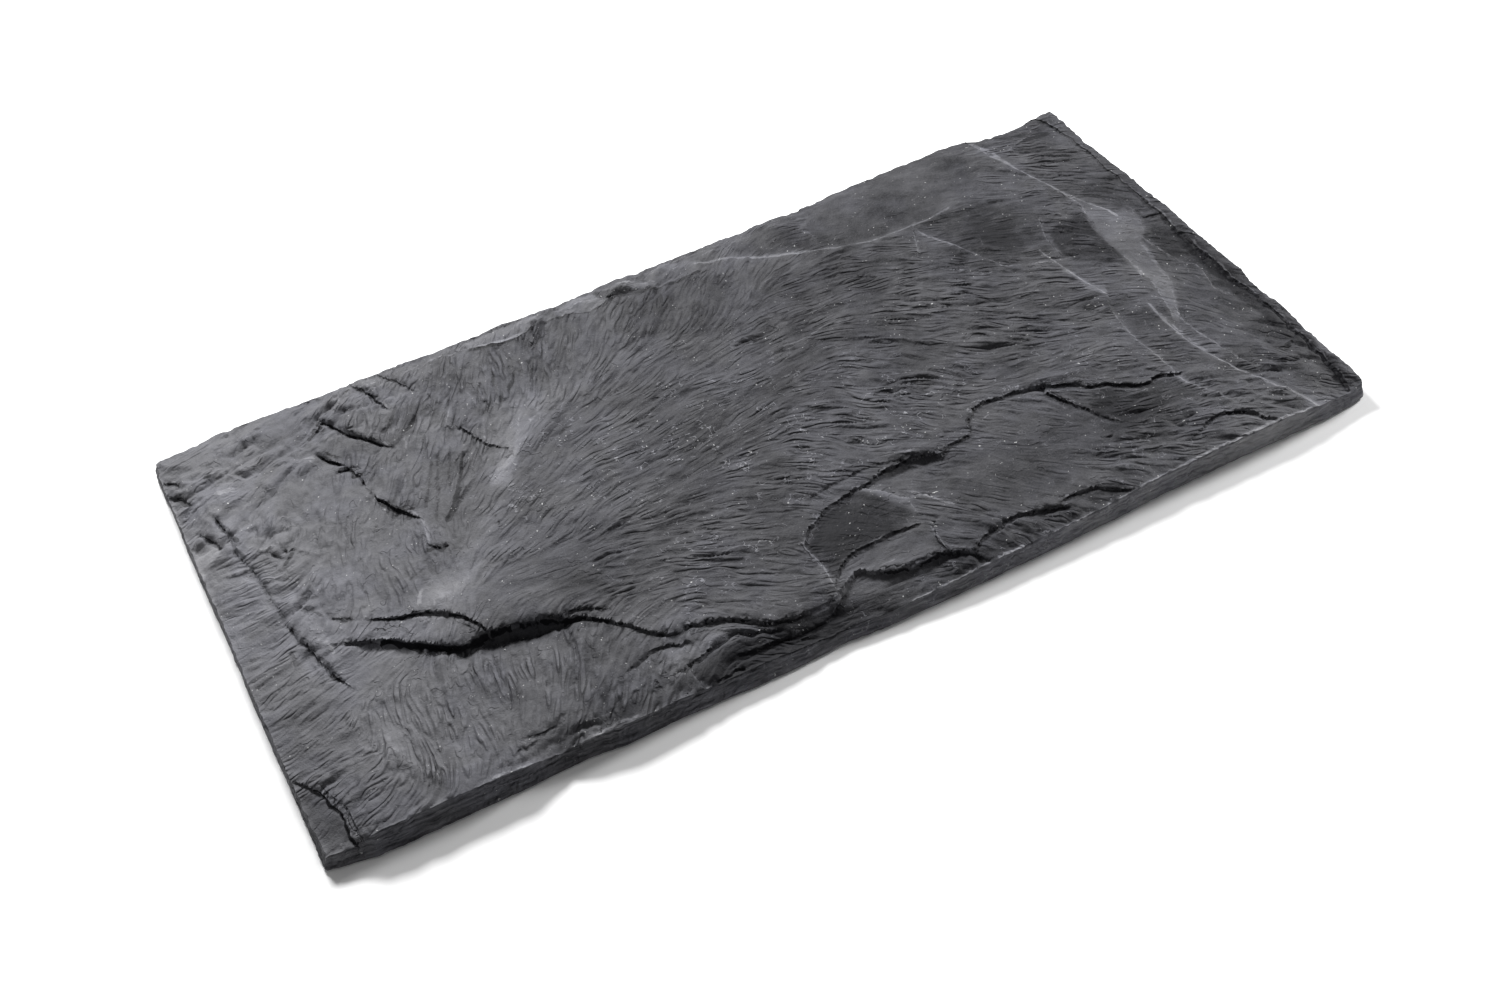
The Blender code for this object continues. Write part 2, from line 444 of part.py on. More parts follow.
def underside_surface(rings, rng):
    """Points and triangles of the underside: flat, with shallow flakes lost from it."""
    ring = rings["foot"][:, :2]
    lines = []
    raised = []
    for x, y, radius_u, radius_v, angle, depth in UNDERSIDE_FLAKES:
        turn = math.radians(angle)
        bearings = np.linspace(0, 2 * math.pi, 12, endpoint=False)
        reach = np.array([rng.uniform(0.8, 1.15) for _ in bearings])
        u = radius_u * reach * np.cos(bearings)
        v = radius_v * reach * np.sin(bearings)
        across = np.array([math.cos(turn), math.sin(turn)])
        up = np.array([-math.sin(turn), math.cos(turn)])
        outer = np.array([x, y]) + u[:, None] * across + v[:, None] * up
        inner = np.array([x, y]) + 0.94 * (u[:, None] * across + v[:, None] * up)
        for loop in (outer, inner):
            lines.append(np.vstack([loop, loop[:1]]))
        raised.append((inner, depth))
    loose = scattered(ring, UNDERSIDE_SPACING, 8.0, np.vstack(lines), rng)
    plan, triangles = triangulated(ring, lines, loose)
    height = np.zeros(len(plan))
    for inner, depth in raised:
        height[distance_to_ring(plan, inner) > -0.1] = depth
    height[:len(ring)] = 0.0
    return np.column_stack([plan, height]), triangles


def fitted(points):
    """Points in metres, fitted to the driving dimensions with the origin under the middle."""
    low, high = points.min(axis=0), points.max(axis=0)
    size = np.array([LENGTH, WIDTH, HEIGHT])
    origin = np.array([(low[0] + high[0]) / 2, (low[1] + high[1]) / 2, low[2]])
    return (points - origin) * size / (high - low)


def stone_material():
    """Dull dark stone."""
    material = bpy.data.materials.new("slate")
    material.use_nodes = True
    shader = material.node_tree.nodes["Principled BSDF"]
    shader.inputs["Base Color"].default_value = (0.09, 0.09, 0.1, 1.0)
    shader.inputs["Roughness"].default_value = 0.6
    return material


def slab():
    """The slab as one closed mesh."""
    rng = random.Random(SEED)
    rings = rim_rings(rng)
    count = len(rings["foot"])
    top_points, top_triangles = top_surface(rings, rng)
    under_points, under_triangles = underside_surface(rings, rng)
    points = np.vstack([under_points, rings["widest"], rings["middle"], top_points])
    widest = len(under_points)
    middle = widest + count
    top = middle + count
    faces = [tuple(reversed(face)) for face in under_triangles]
    faces += [tuple(index + top for index in face) for face in top_triangles]
    for lower, upper in ((0, widest), (widest, middle), (middle, top)):
        for index in range(count):
            after = (index + 1) % count
            corners = (lower + index, lower + after, upper + after, upper + index)
            faces.append((corners[0], corners[1], corners[2]))
            faces.append((corners[0], corners[2], corners[3]))
    mesh = bpy.data.meshes.new("slab")
    mesh.from_pydata(fitted(points).tolist(), [], faces)
    mesh.materials.append(stone_material())
    mesh.update()
    body = bpy.data.objects.new("slab", mesh)
    bpy.context.collection.objects.link(body)
    return body


for item in list(bpy.data.objects):
    bpy.data.objects.remove(item, do_unlink=True)

slab()
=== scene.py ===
"""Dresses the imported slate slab: the split face in full, its stone and a plain studio stage.

The slab's tables are in millimetres, in the frame that they were drawn in; fitted() brings
what is made from them to the slab's real size and place.
"""

import math

import bmesh
import bpy
import numpy as np
from mathutils import Matrix, Vector


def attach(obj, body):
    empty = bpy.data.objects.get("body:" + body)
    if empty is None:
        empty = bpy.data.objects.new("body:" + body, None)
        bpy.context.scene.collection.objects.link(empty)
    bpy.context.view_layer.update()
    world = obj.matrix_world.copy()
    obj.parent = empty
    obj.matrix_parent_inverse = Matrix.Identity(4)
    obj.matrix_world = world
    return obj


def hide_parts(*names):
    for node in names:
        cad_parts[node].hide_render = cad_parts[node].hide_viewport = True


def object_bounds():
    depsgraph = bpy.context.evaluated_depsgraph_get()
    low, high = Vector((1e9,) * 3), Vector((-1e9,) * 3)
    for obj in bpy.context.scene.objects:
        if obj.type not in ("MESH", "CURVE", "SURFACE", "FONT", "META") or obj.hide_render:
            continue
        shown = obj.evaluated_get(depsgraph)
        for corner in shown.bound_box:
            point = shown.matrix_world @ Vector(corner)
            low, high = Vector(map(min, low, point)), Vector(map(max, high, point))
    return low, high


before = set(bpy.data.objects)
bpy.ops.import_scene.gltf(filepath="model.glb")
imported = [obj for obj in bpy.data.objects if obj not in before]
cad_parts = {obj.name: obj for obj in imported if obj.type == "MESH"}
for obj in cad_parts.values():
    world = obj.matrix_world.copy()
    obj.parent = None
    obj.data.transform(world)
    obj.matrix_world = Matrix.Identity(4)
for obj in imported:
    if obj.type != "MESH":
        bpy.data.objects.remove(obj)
CAD_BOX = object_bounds()

bl_info = {
    "name": "Slate slab",
    "version": (1, 0, 0),
    "blender": (4, 5, 0),
    "location": "3D View > Sidebar > Slate slab",
    "description": "Models a riven slate slab with its stone and a studio stage",
    "category": "Object",
}

# Outline of the slab at its widest, anticlockwise from the near left corner: x, y, how far
# the top edge lies inside it, and the height of the top edge
OUTLINE = (
    (-300.8, -153.8, 3.0, 7.8), (-290, -156.3, 3.2, 8.6), (-281, -157.9, 3.6, 9.8),
    (-276, -158.5, 3.8, 13.2), (-262, -159.2, 4.0, 13.8), (-232, -159, 4.0, 13.6),
    (-201, -159.3, 3.6, 13.2), (-190, -158.7, 4.0, 10.4), (-180, -158.5, 4.0, 8.8),
    (-169, -158.1, 3.0, 11.6), (-149, -160.5, 3.2, 12.4), (-117, -159.8, 3.0, 11.8),
    (-95, -160.6, 4.0, 9.6), (-73, -161.4, 5.0, 9.6), (-51, -161.1, 4.4, 8.4),
    (-39, -160.6, 4.0, 7.2), (-27, -159.6, 3.4, 6.8), (-16, -160.9, 3.8, 7.2),
    (-5, -161.6, 3.8, 7.4), (18, -161.9, 3.4, 8.0), (35, -161.9, 3.0, 9.2),
    (53, -161.7, 3.0, 10.0), (90, -160.9, 3.0, 10.4), (115, -160.6, 2.8, 11.0),
    (141, -159.7, 2.8, 11.6), (154, -158.7, 2.8, 12.2), (180, -158.4, 3.0, 12.6),
    (206, -158, 3.0, 12.8), (246, -158.4, 3.0, 12.8), (262, -158.3, 3.0, 11.2),
    (273, -158.1, 3.0, 9.8), (288, -157.5, 3.0, 9.0), (293, -156.8, 3.0, 9.2),
    (298.6, -155.3, 2.6, 10.0), (301.2, -152.3, 2.2, 10.6), (301.8, -140, 2.0, 11.4),
    (301.3, -115, 1.8, 11.8), (301.6, -100, 2.0, 12.0), (302.6, -84, 2.0, 12.4),
    (302.6, -75, 2.0, 12.4), (301.2, -63, 2.0, 12.4), (301.4, -54, 2.0, 12.8),
    (303.2, -44, 1.8, 13.2), (302.2, -22, 1.8, 13.4), (301.6, 1, 1.8, 13.4),
    (302.8, 12, 1.8, 13.4), (302.9, 36, 1.8, 13.2), (301.8, 48, 2.0, 12.8),
    (302.7, 60, 2.0, 12.8), (302.6, 72, 2.0, 12.6), (301.5, 86, 2.0, 12.4),
    (301.8, 98, 2.0, 12.2), (300.7, 112, 2.0, 12.2), (302, 137, 2.0, 12.4),
    (301, 151.4, 2.4, 12.6), (292, 153, 2.0, 11.6), (276, 151.5, 2.0, 10.4),
    (260, 150.6, 2.0, 10.4), (246, 151.4, 2.0, 10.4), (236, 156.2, 2.0, 10.4),
    (219, 158.2, 2.0, 10.2), (204, 157, 2.0, 10.2), (174, 157, 2.0, 10.0),
    (144, 155.6, 2.2, 10.0), (114, 153.6, 2.2, 9.8), (87, 155, 2.2, 9.4), (72, 154, 2.2, 9.2),
    (58, 154.8, 2.2, 9.0), (44, 153.7, 2.2, 9.0), (17, 154.6, 2.2, 8.6), (3, 154.5, 2.2, 8.6),
    (-10, 155.9, 2.2, 8.6), (-23, 155.6, 2.2, 8.6), (-37, 153.6, 2.2, 8.6),
    (-51, 152.6, 2.2, 8.6), (-63, 154, 2.2, 8.6), (-76, 153.8, 2.2, 8.6), (-88, 155.2, 2.2, 8.6),
    (-102, 153.3, 2.2, 8.6), (-115, 153.9, 2.2, 8.6), (-128, 152.8, 2.2, 8.6),
    (-152, 154.9, 2.2, 8.6), (-165, 153.9, 2.2, 8.6), (-177, 154.5, 2.2, 8.6),
    (-202, 153.4, 2.2, 8.4), (-225, 154.8, 2.2, 8.2), (-261, 155.6, 2.2, 7.8),
    (-273, 153.7, 2.2, 7.8), (-285, 153, 2.2, 7.2), (-297.3, 153, 2.4, 7.2),
    (-300.9, 149.6, 2.2, 7.4), (-302.1, 135, 1.8, 7.6), (-301.7, 110, 1.6, 9.4),
    (-301.7, 60, 1.6, 11.0), (-301.3, 0, 1.6, 11.4), (-301.5, -60, 1.6, 11.2),
    (-301.1, -100, 1.8, 10.6), (-301.1, -128, 2.0, 9.0),
)

# Steps of the split face: half width, how far the drop reaches on the low side and on the
# high side, then x, y and drop along the line, with the low side on the right of travel or,
# where the drop is negative, on the left
STEPS = {
    "ledge_west": (0.45, 70, 60, (
        (-250, -40, 0.6), (-242, -43, 2.8), (-232, -47, 3.3), (-222, -54, 3.6), (-215, -60, 3.8),
        (-207, -66, 4), (-198, -71, 4.3), (-190, -69, 4.6), (-180, -70, 4.8), (-172, -72, 4.8),
        (-160, -75, 4.6), (-150, -80, 4), (-140, -84, 2.6), (-133, -90, 2), (-125, -98, 2),
        (-118, -107, 2.2), (-110, -117, 2.2), (-103, -120, 2), (-95, -119, 2),
        (-85, -122, 2), (-75, -126, 2.2), (-67, -132, 2.4), (-62, -137, 2.6), (-50, -140, 2.6),
        (-40, -141, 2.6), (-30, -141, 2.4), (-20, -139, 1.6), (-12, -134, 0))),
    "flake": (0.4, 14, 30, (
        (-236, -31, 0), (-230, -33, 1.1), (-225, -36, 1.4), (-218, -39, 1.8), (-208, -42, 2.1),
        (-200, -47, 2.2), (-194, -52, 2), (-190, -58, 1.9), (-186, -65, 1.5), (-183, -71, 0.4))),
    "flake_inner": (0.35, 8, 8, (
        (-198, -49, 0), (-196, -53, 0.5), (-193, -58, 0.7), (-189, -67, 0.4))),
    "wedge": (0.4, 12, 16, (
        (-147, -79, 0), (-142, -80, 0.8), (-135, -82, 1), (-128, -86, 0.7), (-122, -90, 0))),
    "front_sheet": (0.4, 14, 12, (
        (-140, -131, 0), (-128, -127, 0.9), (-120, -124, 1), (-112, -124, 1.1),
        (-104, -127, 0.8), (-98, -130, 0))),
    "pocket_top": (0.4, 18, 10, (
        (-118, -143, 0), (-110, -141, 0.8), (-100, -139, 1.2), (-90, -136, 1.2),
        (-78, -134, 1), (-70, -138, 1.2), (-60, -142, 1), (-52, -144, 0))),
    "pocket": (0.4, 16, 8, (
        (-92, -146, 0), (-78, -146, 1.4), (-60, -147, 1.9), (-40, -148, 1.9), (-30, -146, 1.6),
        (-20, -141, 0.8), (-14, -137, 0))),
    "pocket_west": (0.5, 40, 12, (
        (-103, -160, 1.2), (-106, -152, 1.2), (-107, -142, 0.8), (-108, -136, 0))),
    "front_fold": (0.9, 9, 12, (
        (-222, -149, 0), (-210, -150, 0.7), (-195, -151, 0.9), (-185, -147, 0.9),
        (-165, -148, 0.9), (-157, -150, 0.6), (-146, -151, 0))),
    "hollow_edge": (0.5, 50, 40, (
        (-22, -143, 0), (-20, -130, 0.7), (-20, -120, 0.9), (-21, -110, 1.1), (-21, -102, 1.3),
        (-14, -94, 1.4), (-8, -90, 1.4), (0, -86, 1.4), (12, -83, 1.5), (22, -81, 1.7),
        (32, -79, 2.1), (42, -77, 2.8), (55, -76, 3.2), (65, -78, 3.2), (72, -81, 2.8),
        (76, -82, 2), (80, -79, 1.4), (90, -77, 1.4), (97, -76, 1.8), (98, -70, 1.6),
        (103, -64, 1.5), (110, -61, 1.4), (125, -62, 1.4), (140, -64, 1.5), (147, -67, 1.8),
        (149, -75, 1.8), (153, -83, 1.6), (158, -92, 1.2), (163, -102, 0.9), (168, -109, 0.7),
        (172, -117, 0))),
    "upper_sheet": (0.4, 10, 14, (
        (-8, -79, 0), (0, -74, 0.5), (15, -72, 0.6), (30, -71, 0.6), (45, -73, 0.7),
        (60, -75, 0.5), (68, -78, 0))),
    "east_ledge": (0.5, 36, 30, (
        (143, -64, 0), (150, -68, 1.3), (155, -71, 1.6), (165, -75, 1.6), (170, -82, 1.6),
        (180, -84, 1.6), (190, -92, 1.8), (198, -95, 1.8), (205, -93, 1.8), (214, -96, 1.4),
        (222, -97, 0))),
    "hollow_crest": (0.7, 14, 22, (
        (64, -119, 0), (60, -115, 0.5), (55, -108, 0.6), (48, -102, 0.8), (45, -103, 0.9),
        (38, -97, 1.1), (30, -88, 1.2), (24, -82, 0.9), (20, -78, 0))),
    "hollow_lip": (0.4, 20, 20, (
        (-22, -136, 0), (-18, -132, 0.7), (-15, -127, 1.1), (-8, -122, 1.3), (0, -119, 1.3),
        (10, -118, 1.3), (22, -117, 1.3), (35, -119, 1), (40, -119, 0))),
    "front_ledge": (0.45, 30, 22, (
        (-26, -141, 0), (-20, -138, 1.2), (-12, -133, 2.2), (-5, -130, 2.6), (0, -133, 2.8),
        (8, -138, 3), (18, -141, 3), (30, -142, 3), (38, -142, 2.8), (45, -146, 2.6),
        (52, -150, 2), (56, -156, 0.8))),
    "notch": (0.6, 12, 10, (
        (58, -118, 0), (52, -121, 0.5), (44, -125, 1), (42, -129, 1.2), (40, -134, 1.2),
        (41, -142, 0.8), (43, -147, 0))),
    "scallop_a": (0.4, 18, 10, (
        (52, -153, 0.3), (55, -148, 0.9), (62, -144, 1.3), (70, -141, 1.5), (80, -140, 1.6),
        (90, -141, 1.6), (98, -144, 1.4), (108, -147, 0.8), (114, -149, 0))),
    "scallop_b": (0.4, 16, 10, (
        (104, -146, 0), (112, -143, 0.9), (122, -143, 1.2), (130, -145, 1.3), (136, -150, 1.2),
        (145, -154, 0.8))),
    "scallop_c": (0.4, 16, 10, (
        (190, -144, 0), (200, -139, 0.8), (208, -136, 1.2), (218, -135, 1.4), (226, -138, 1.6),
        (232, -143, 1.6), (236, -149, 1.3), (241, -154, 0.8))),
    "east_low": (0.9, 36, 40, (
        (229, -136, 0), (227, -128, 0.7), (223, -117, 1), (218, -108, 1.1), (215, -98, 1.2),
        (215, -88, 1.2), (214, -75, 1.3), (213, -62, 1.3), (214, -50, 1.3), (216, -38, 1.3),
        (220, -28, 1.3), (224, -20, 1.2), (229, -10, 0.6), (232, -3, 0))),
    "east_middle": (0.9, 20, 20, (
        (224, -24, 0), (222, -18, 0.9), (218, -5, 1), (216, 8, 1.1), (214, 20, 1),
        (213, 30, 0.5), (212, 36, 0))),
    "east_band": (1.3, 40, 40, (
        (270, -158, 0.9), (266, -152, 1.2), (263, -145, 1.4), (257, -132, 1.6), (251, -119, 1.7),
        (246, -107, 1.7), (243, -98, 1.7), (240, -88, 1.6), (238, -75, 1.5), (237, -62, 1.3),
        (237, -52, 1), (238, -40, 0.7), (239, -30, 0))),
    "east_facet": (0.8, 26, 22, (
        (240, -68, 0), (242, -62, 0.6), (245, -50, 1), (248, -35, 1.1), (250, -15, 1.1),
        (251, 0, 1.1), (251, 15, 1), (252, 35, 0.8), (255, 50, 0.5), (257, 58, 0))),
    "north_east_arc": (1, 30, 30, (
        (274, 30, 0), (272, 38, 0.5), (270, 45, 0.8), (264, 55, 1.1), (258, 65, 1.3),
        (255, 78, 1.5), (252, 90, 1.6), (248, 103, 1.6), (244, 117, 1.6), (240, 128, 1.5),
        (238, 138, 1.3), (237, 150, 1))),
    "smooth_facet": (2.2, 60, 34, (
        (200, 100, 0), (190, 98, 1), (178, 96, 1.4), (165, 95, 1.7), (158, 94, 1.9),
        (145, 94, 2.1), (130, 95, 2.2), (120, 98, 2.2), (108, 103, 2.1), (97, 107, 2),
        (88, 110, 1.9), (75, 115, 1.7), (66, 120, 1.5), (58, 128, 1.2), (45, 130, 1),
        (36, 135, 0.7), (28, 139, 0))),
    "smooth_facet_west": (0.8, 20, 20, (
        (107, 104, 0), (105, 110, -0.6), (106, 120, -0.8), (104, 130, -0.8), (112, 136, -0.6),
        (125, 144, 0))),
    "dark_hollow_north": (0.9, 24, 20, (
        (158, 94, 0), (165, 93, 0.5), (185, 92, 0.8), (200, 90, 0.9), (212, 88, 0.9),
        (225, 84, 0.8), (235, 81, 0.7), (250, 80, 0.5), (256, 80, 0))),
    "dark_hollow_west": (0.9, 46, 24, (
        (226, 18, 0), (213, 20, 1), (205, 22, 1.2), (195, 26, 1.4), (186, 33, 1.6),
        (183, 40, 1.7), (179, 50, 1.6), (175, 62, 1.5), (170, 72, 1.4), (164, 82, 1.1),
        (162, 92, 0.6), (161, 97, 0))),
    "dark_hollow_east": (0.7, 10, 10, (
        (222, 20, 0), (221, 25, 0.6), (222, 38, 0.9), (225, 45, 0.8), (228, 55, 0.5),
        (230, 62, 0))),
    "east_vein": (0.5, 8, 8, (
        (272, 16, 0), (273, 10, -0.6), (275, -2, -0.7), (278, -17, -0.7), (284, -24, -0.6),
        (282, -38, -0.6), (279, -48, -0.6), (283, -57, -0.5), (284, -64, 0))),
    "corner_arc": (0.8, 14, 14, (
        (292, 126, 0), (288, 129, 0.5), (283, 133, 0.7), (275, 136, 0.7), (266, 134, 0.6),
        (258, 131, 0.5), (250, 127, 0))),
    "east_lip": (0.6, 22, 8, (
        (290, -152, -1.4), (293, -140, -2.2), (294, -120, -2), (295, -100, -1.2),
        (296, -80, -0.8), (295, -62, -1.2), (294, -46, -1.8), (294, -20, -1.9), (294, 10, -1.9),
        (295, 30, -1.5), (295, 50, -0.9), (295, 70, -0.7), (295, 95, -0.8), (294, 120, -0.9),
        (290, 140, -1.2), (287, 152, -0.8))),
    "west_edge_fold": (0.6, 16, 24, (
        (-253, -72, 0), (-256, -65, -0.7), (-259, -58, -1.1), (-262, -47, -1.2),
        (-265, -38, -1.2), (-267, -28, -1), (-270, -18, -0.8), (-271, -8, 0))),
    "west_groove": (0.6, 10, 14, (
        (-270, -18, 0), (-271, 0, -0.5), (-272, 15, -0.6), (-274, 30, -0.8), (-277, 43, -1),
        (-279, 50, -0.9), (-278, 57, -0.6), (-279, 68, -0.8), (-281, 78, -0.6), (-282, 84, 0))),
    "west_groove_upper": (0.5, 8, 10, (
        (-284, 56, 0), (-285, 60, -0.8), (-288, 68, -0.9), (-292, 75, -0.7), (-294, 80, 0))),
    "corner_step_a": (0.5, 8, 10, (
        (-290, 115, 0), (-291, 120, -0.9), (-294, 127, -1), (-298, 130, -0.7))),
    "corner_step_b": (0.5, 8, 10, (
        (-289, 99, 0), (-290, 103, -0.8), (-294, 111, -0.8), (-299, 117, -0.6))),
    "west_slope": (1.4, 30, 40, (
        (-272, -158, -0.5), (-273, -142, -0.6), (-272, -130, -0.6), (-271, -120, -0.6),
        (-268, -110, -0.6), (-264, -100, -0.7), (-264, -82, -0.7), (-264, -65, 0))),
    "corner_sheet": (0.5, 30, 16, (
        (-283, -160, -2.6), (-283, -150, -2.4), (-284, -137, -2), (-286, -128, -1.7),
        (-288, -120, -1.5), (-291, -115, -1.3), (-294, -110, -1), (-300, -103, -0.6))),
    "zigzag": (0.5, 7, 8, (
        (-252, 28, 0), (-257, 33, -0.6), (-262, 38, -0.7), (-266, 42, -0.6), (-270, 48, 0))),
    "west_facet": (0.5, 26, 26, (
        (-209, 131, 0), (-206, 125, 0.9), (-203, 118, 1.3), (-199, 110, 1.5), (-195, 102, 1.6),
        (-190, 96, 1.6), (-185, 90, 1.4), (-181, 85, 0.8), (-177, 80, 0))),
    "west_facet_east": (1.6, 20, 26, (
        (-186, 82, 0), (-182, 87, -0.9), (-172, 97, -1.3), (-165, 105, -1.3),
        (-160, 113, -1), (-155, 118, -0.6), (-150, 122, 0))),
    "far_line_a": (0.4, 10, 12, (
        (-181, 149, 0.5), (-179, 144, 1), (-177, 135, 1.2), (-174, 125, 1.1), (-172, 115, 0.8),
        (-170, 110, 0))),
    "far_line_b": (0.4, 10, 12, (
        (-165, 150, 0.4), (-163, 145, 0.8), (-160, 138, 0.9), (-157, 128, 0.8), (-153, 120, 0.4),
        (-151, 116, 0))),
    "crack": (0.4, 10, 12, (
        (-219, 100, 0), (-216, 96, 1), (-212, 90, 1.7), (-209, 86, 1.4), (-207, 83, 0.3),
        (-206, 80, 1.1), (-205, 76, 0.9), (-204, 73, 1.4), (-203, 69, 0.4), (-202, 65, 1.3),
        (-202, 60, 0.3), (-201, 54, 0.5), (-200, 48, 1.8), (-197, 42, 2.2), (-193, 34, 2.2),
        (-190, 30, 1.9), (-188, 25, 1.3), (-185, 22, 0.6), (-183, 17, 0))),
    "crack_east": (0.5, 9, 10, (
        (-142, 78, 0), (-140, 73, 0.8), (-137, 66, 1), (-134, 58, 1), (-131, 53, 0.8),
        (-126, 48, 0.5), (-122, 45, 0))),
    "far_chips": (0.9, 12, 22, (
        (36, 128, 0), (25, 127, 0.9), (15, 128, 1.2), (5, 126, 1.4), (0, 128, 1.6),
        (-10, 131, 1.8), (-18, 133, 1.8), (-25, 133, 1.6), (-38, 129, 1.8), (-45, 130, 1.8),
        (-55, 135, 1.6), (-65, 136, 1.6), (-80, 131, 1.8), (-95, 132, 1.6), (-110, 137, 1.2),
        (-122, 140, 0))),
}

# Thin broken lines, too fine for the solid, in the same form
THIN_LINES = {
    "tick_west": (0.35, 5, 5, ((-248, -21, 0.7), (-241, -27, 0.7))),
    "pocket_low": (0.35, 6, 5, (
        (-100, -155, 0), (-95, -154, 0.9), (-85, -153, 0.9), (-80, -157, 0.3))),
    "pocket_low_east": (0.35, 6, 5, ((-70, -150, 0), (-45, -151, 0.8), (-35, -157, 0.2))),
    "lip_a": (0.35, 4, 4, ((-193, -140, 0.3), (-185, -141, 0.7), (-176, -140, 0.3))),
    "lip_b": (0.35, 4, 4, ((-201, -146, 0.3), (-195, -145, 0.6), (-189, -144, 0.3))),
    "notch_edge": (0.35, 6, 5, (
        (42, -120, 0), (36, -119, 0.8), (31, -114, 0.8), (29, -110, 0))),
    "east_thin": (0.4, 6, 6, (
        (257, -118, 0), (255, -110, 0.6), (253, -100, 0.7), (249, -85, 0.7), (247, -70, 0.7),
        (248, -55, 0.5), (249, -48, 0))),
    "north_east_branch": (0.4, 6, 6, (
        (256, 44, 0), (257, 50, 0.6), (258, 60, 0.6), (254, 75, 0.6), (253, 82, 0))),
    "dark_edge": (0.4, 6, 6, (
        (148, 62, 0), (150, 68, 0.6), (155, 78, 0.6), (160, 90, 0.6), (162, 96, 0))),
    "dark_edge_south": (0.4, 6, 6, (
        (184, 26, 0), (180, 30, 0.7), (175, 32, 0.7), (168, 40, 0.7), (158, 46, 0.6),
        (153, 50, 0))),
    "corner_line": (0.4, 6, 6, (
        (-279, -152, -0.6), (-281, -135, -0.7), (-286, -119, -0.7), (-289, -113, 0))),
    "zigzag_west": (0.4, 5, 5, (
        (-248, 36, 0), (-254, 37, -0.6), (-258, 44, -0.6), (-266, 50, 0))),
    "short_mark": (0.4, 5, 6, ((-219, 113, 0), (-212, 120, 0.8), (-206, 127, 0.4))),
    "crack_side": (0.35, 4, 5, (
        (-213, 80, 0.2), (-211, 80, 0.6), (-205, 80, 0.6), (-202, 77, 0.6), (-200, 74, 0))),
    "pit": (0.35, 3, 3, ((-187, -2, 0.4), (-185, -4, 0.9), (-183, -5, 0.3))),
    "hole": (0.35, 2, 2, ((155, -116, 0.2), (157, -117, 0.8), (159, -116, 0.2))),
}

# Broad swells of the split face: x, y, two radii, angle in degrees and height
SWELLS = (
    (0, 0, 200, 112, -8, 2), (-110, 90, 60, 46, 60, 0.6), (-165, -18, 55, 14, 35, 0.5),
    (-140, 20, 50, 12, 52, 0.5), (-165, 95, 18, 14, 40, -1.6), (-225, -110, 70, 46, 0, 0.4),
    (-10, -158, 62, 24, 0, -3), (100, -112, 60, 30, 0, -0.9), (190, -122, 34, 20, 0, -0.8),
    (284, -70, 26, 90, 0, -2.6), (282, 60, 24, 70, 0, -1.2), (150, 130, 110, 22, 0, -0.7),
    (-30, 158, 190, 16, 0, -2.4), (-262, 140, 90, 34, 0, -3), (-298, 20, 14, 120, 0, -1.2),
    (-296, -130, 14, 30, 0, -1.4), (-250, 95, 50, 46, 0, -0.4),
)

# Deep places under the tall ledges, in the same form
TROUGHS = (
    (-168, -79, 34, 6, -10, -3.4), (-150, -85, 14, 4, -28, -1.2), (-55, -148, 34, 5, 2, -1.2),
    (15, -145, 24, 5, -8, -1.6), (40, -82, 26, 5, 0, -0.9), (85, -146, 24, 4, -6, -0.8),
)

# Flakes lost from the underside: x, y, two radii, angle in degrees and depth
FLAKES = (
    (-210, 70, 46, 22, 24, 0.7), (-120, -88, 60, 20, -12, 0.9), (-30, 60, 44, 26, 40, 0.6),
    (60, -60, 50, 24, 8, 0.8), (140, 84, 54, 20, -20, 0.7), (220, -40, 34, 24, 60, 0.9),
)

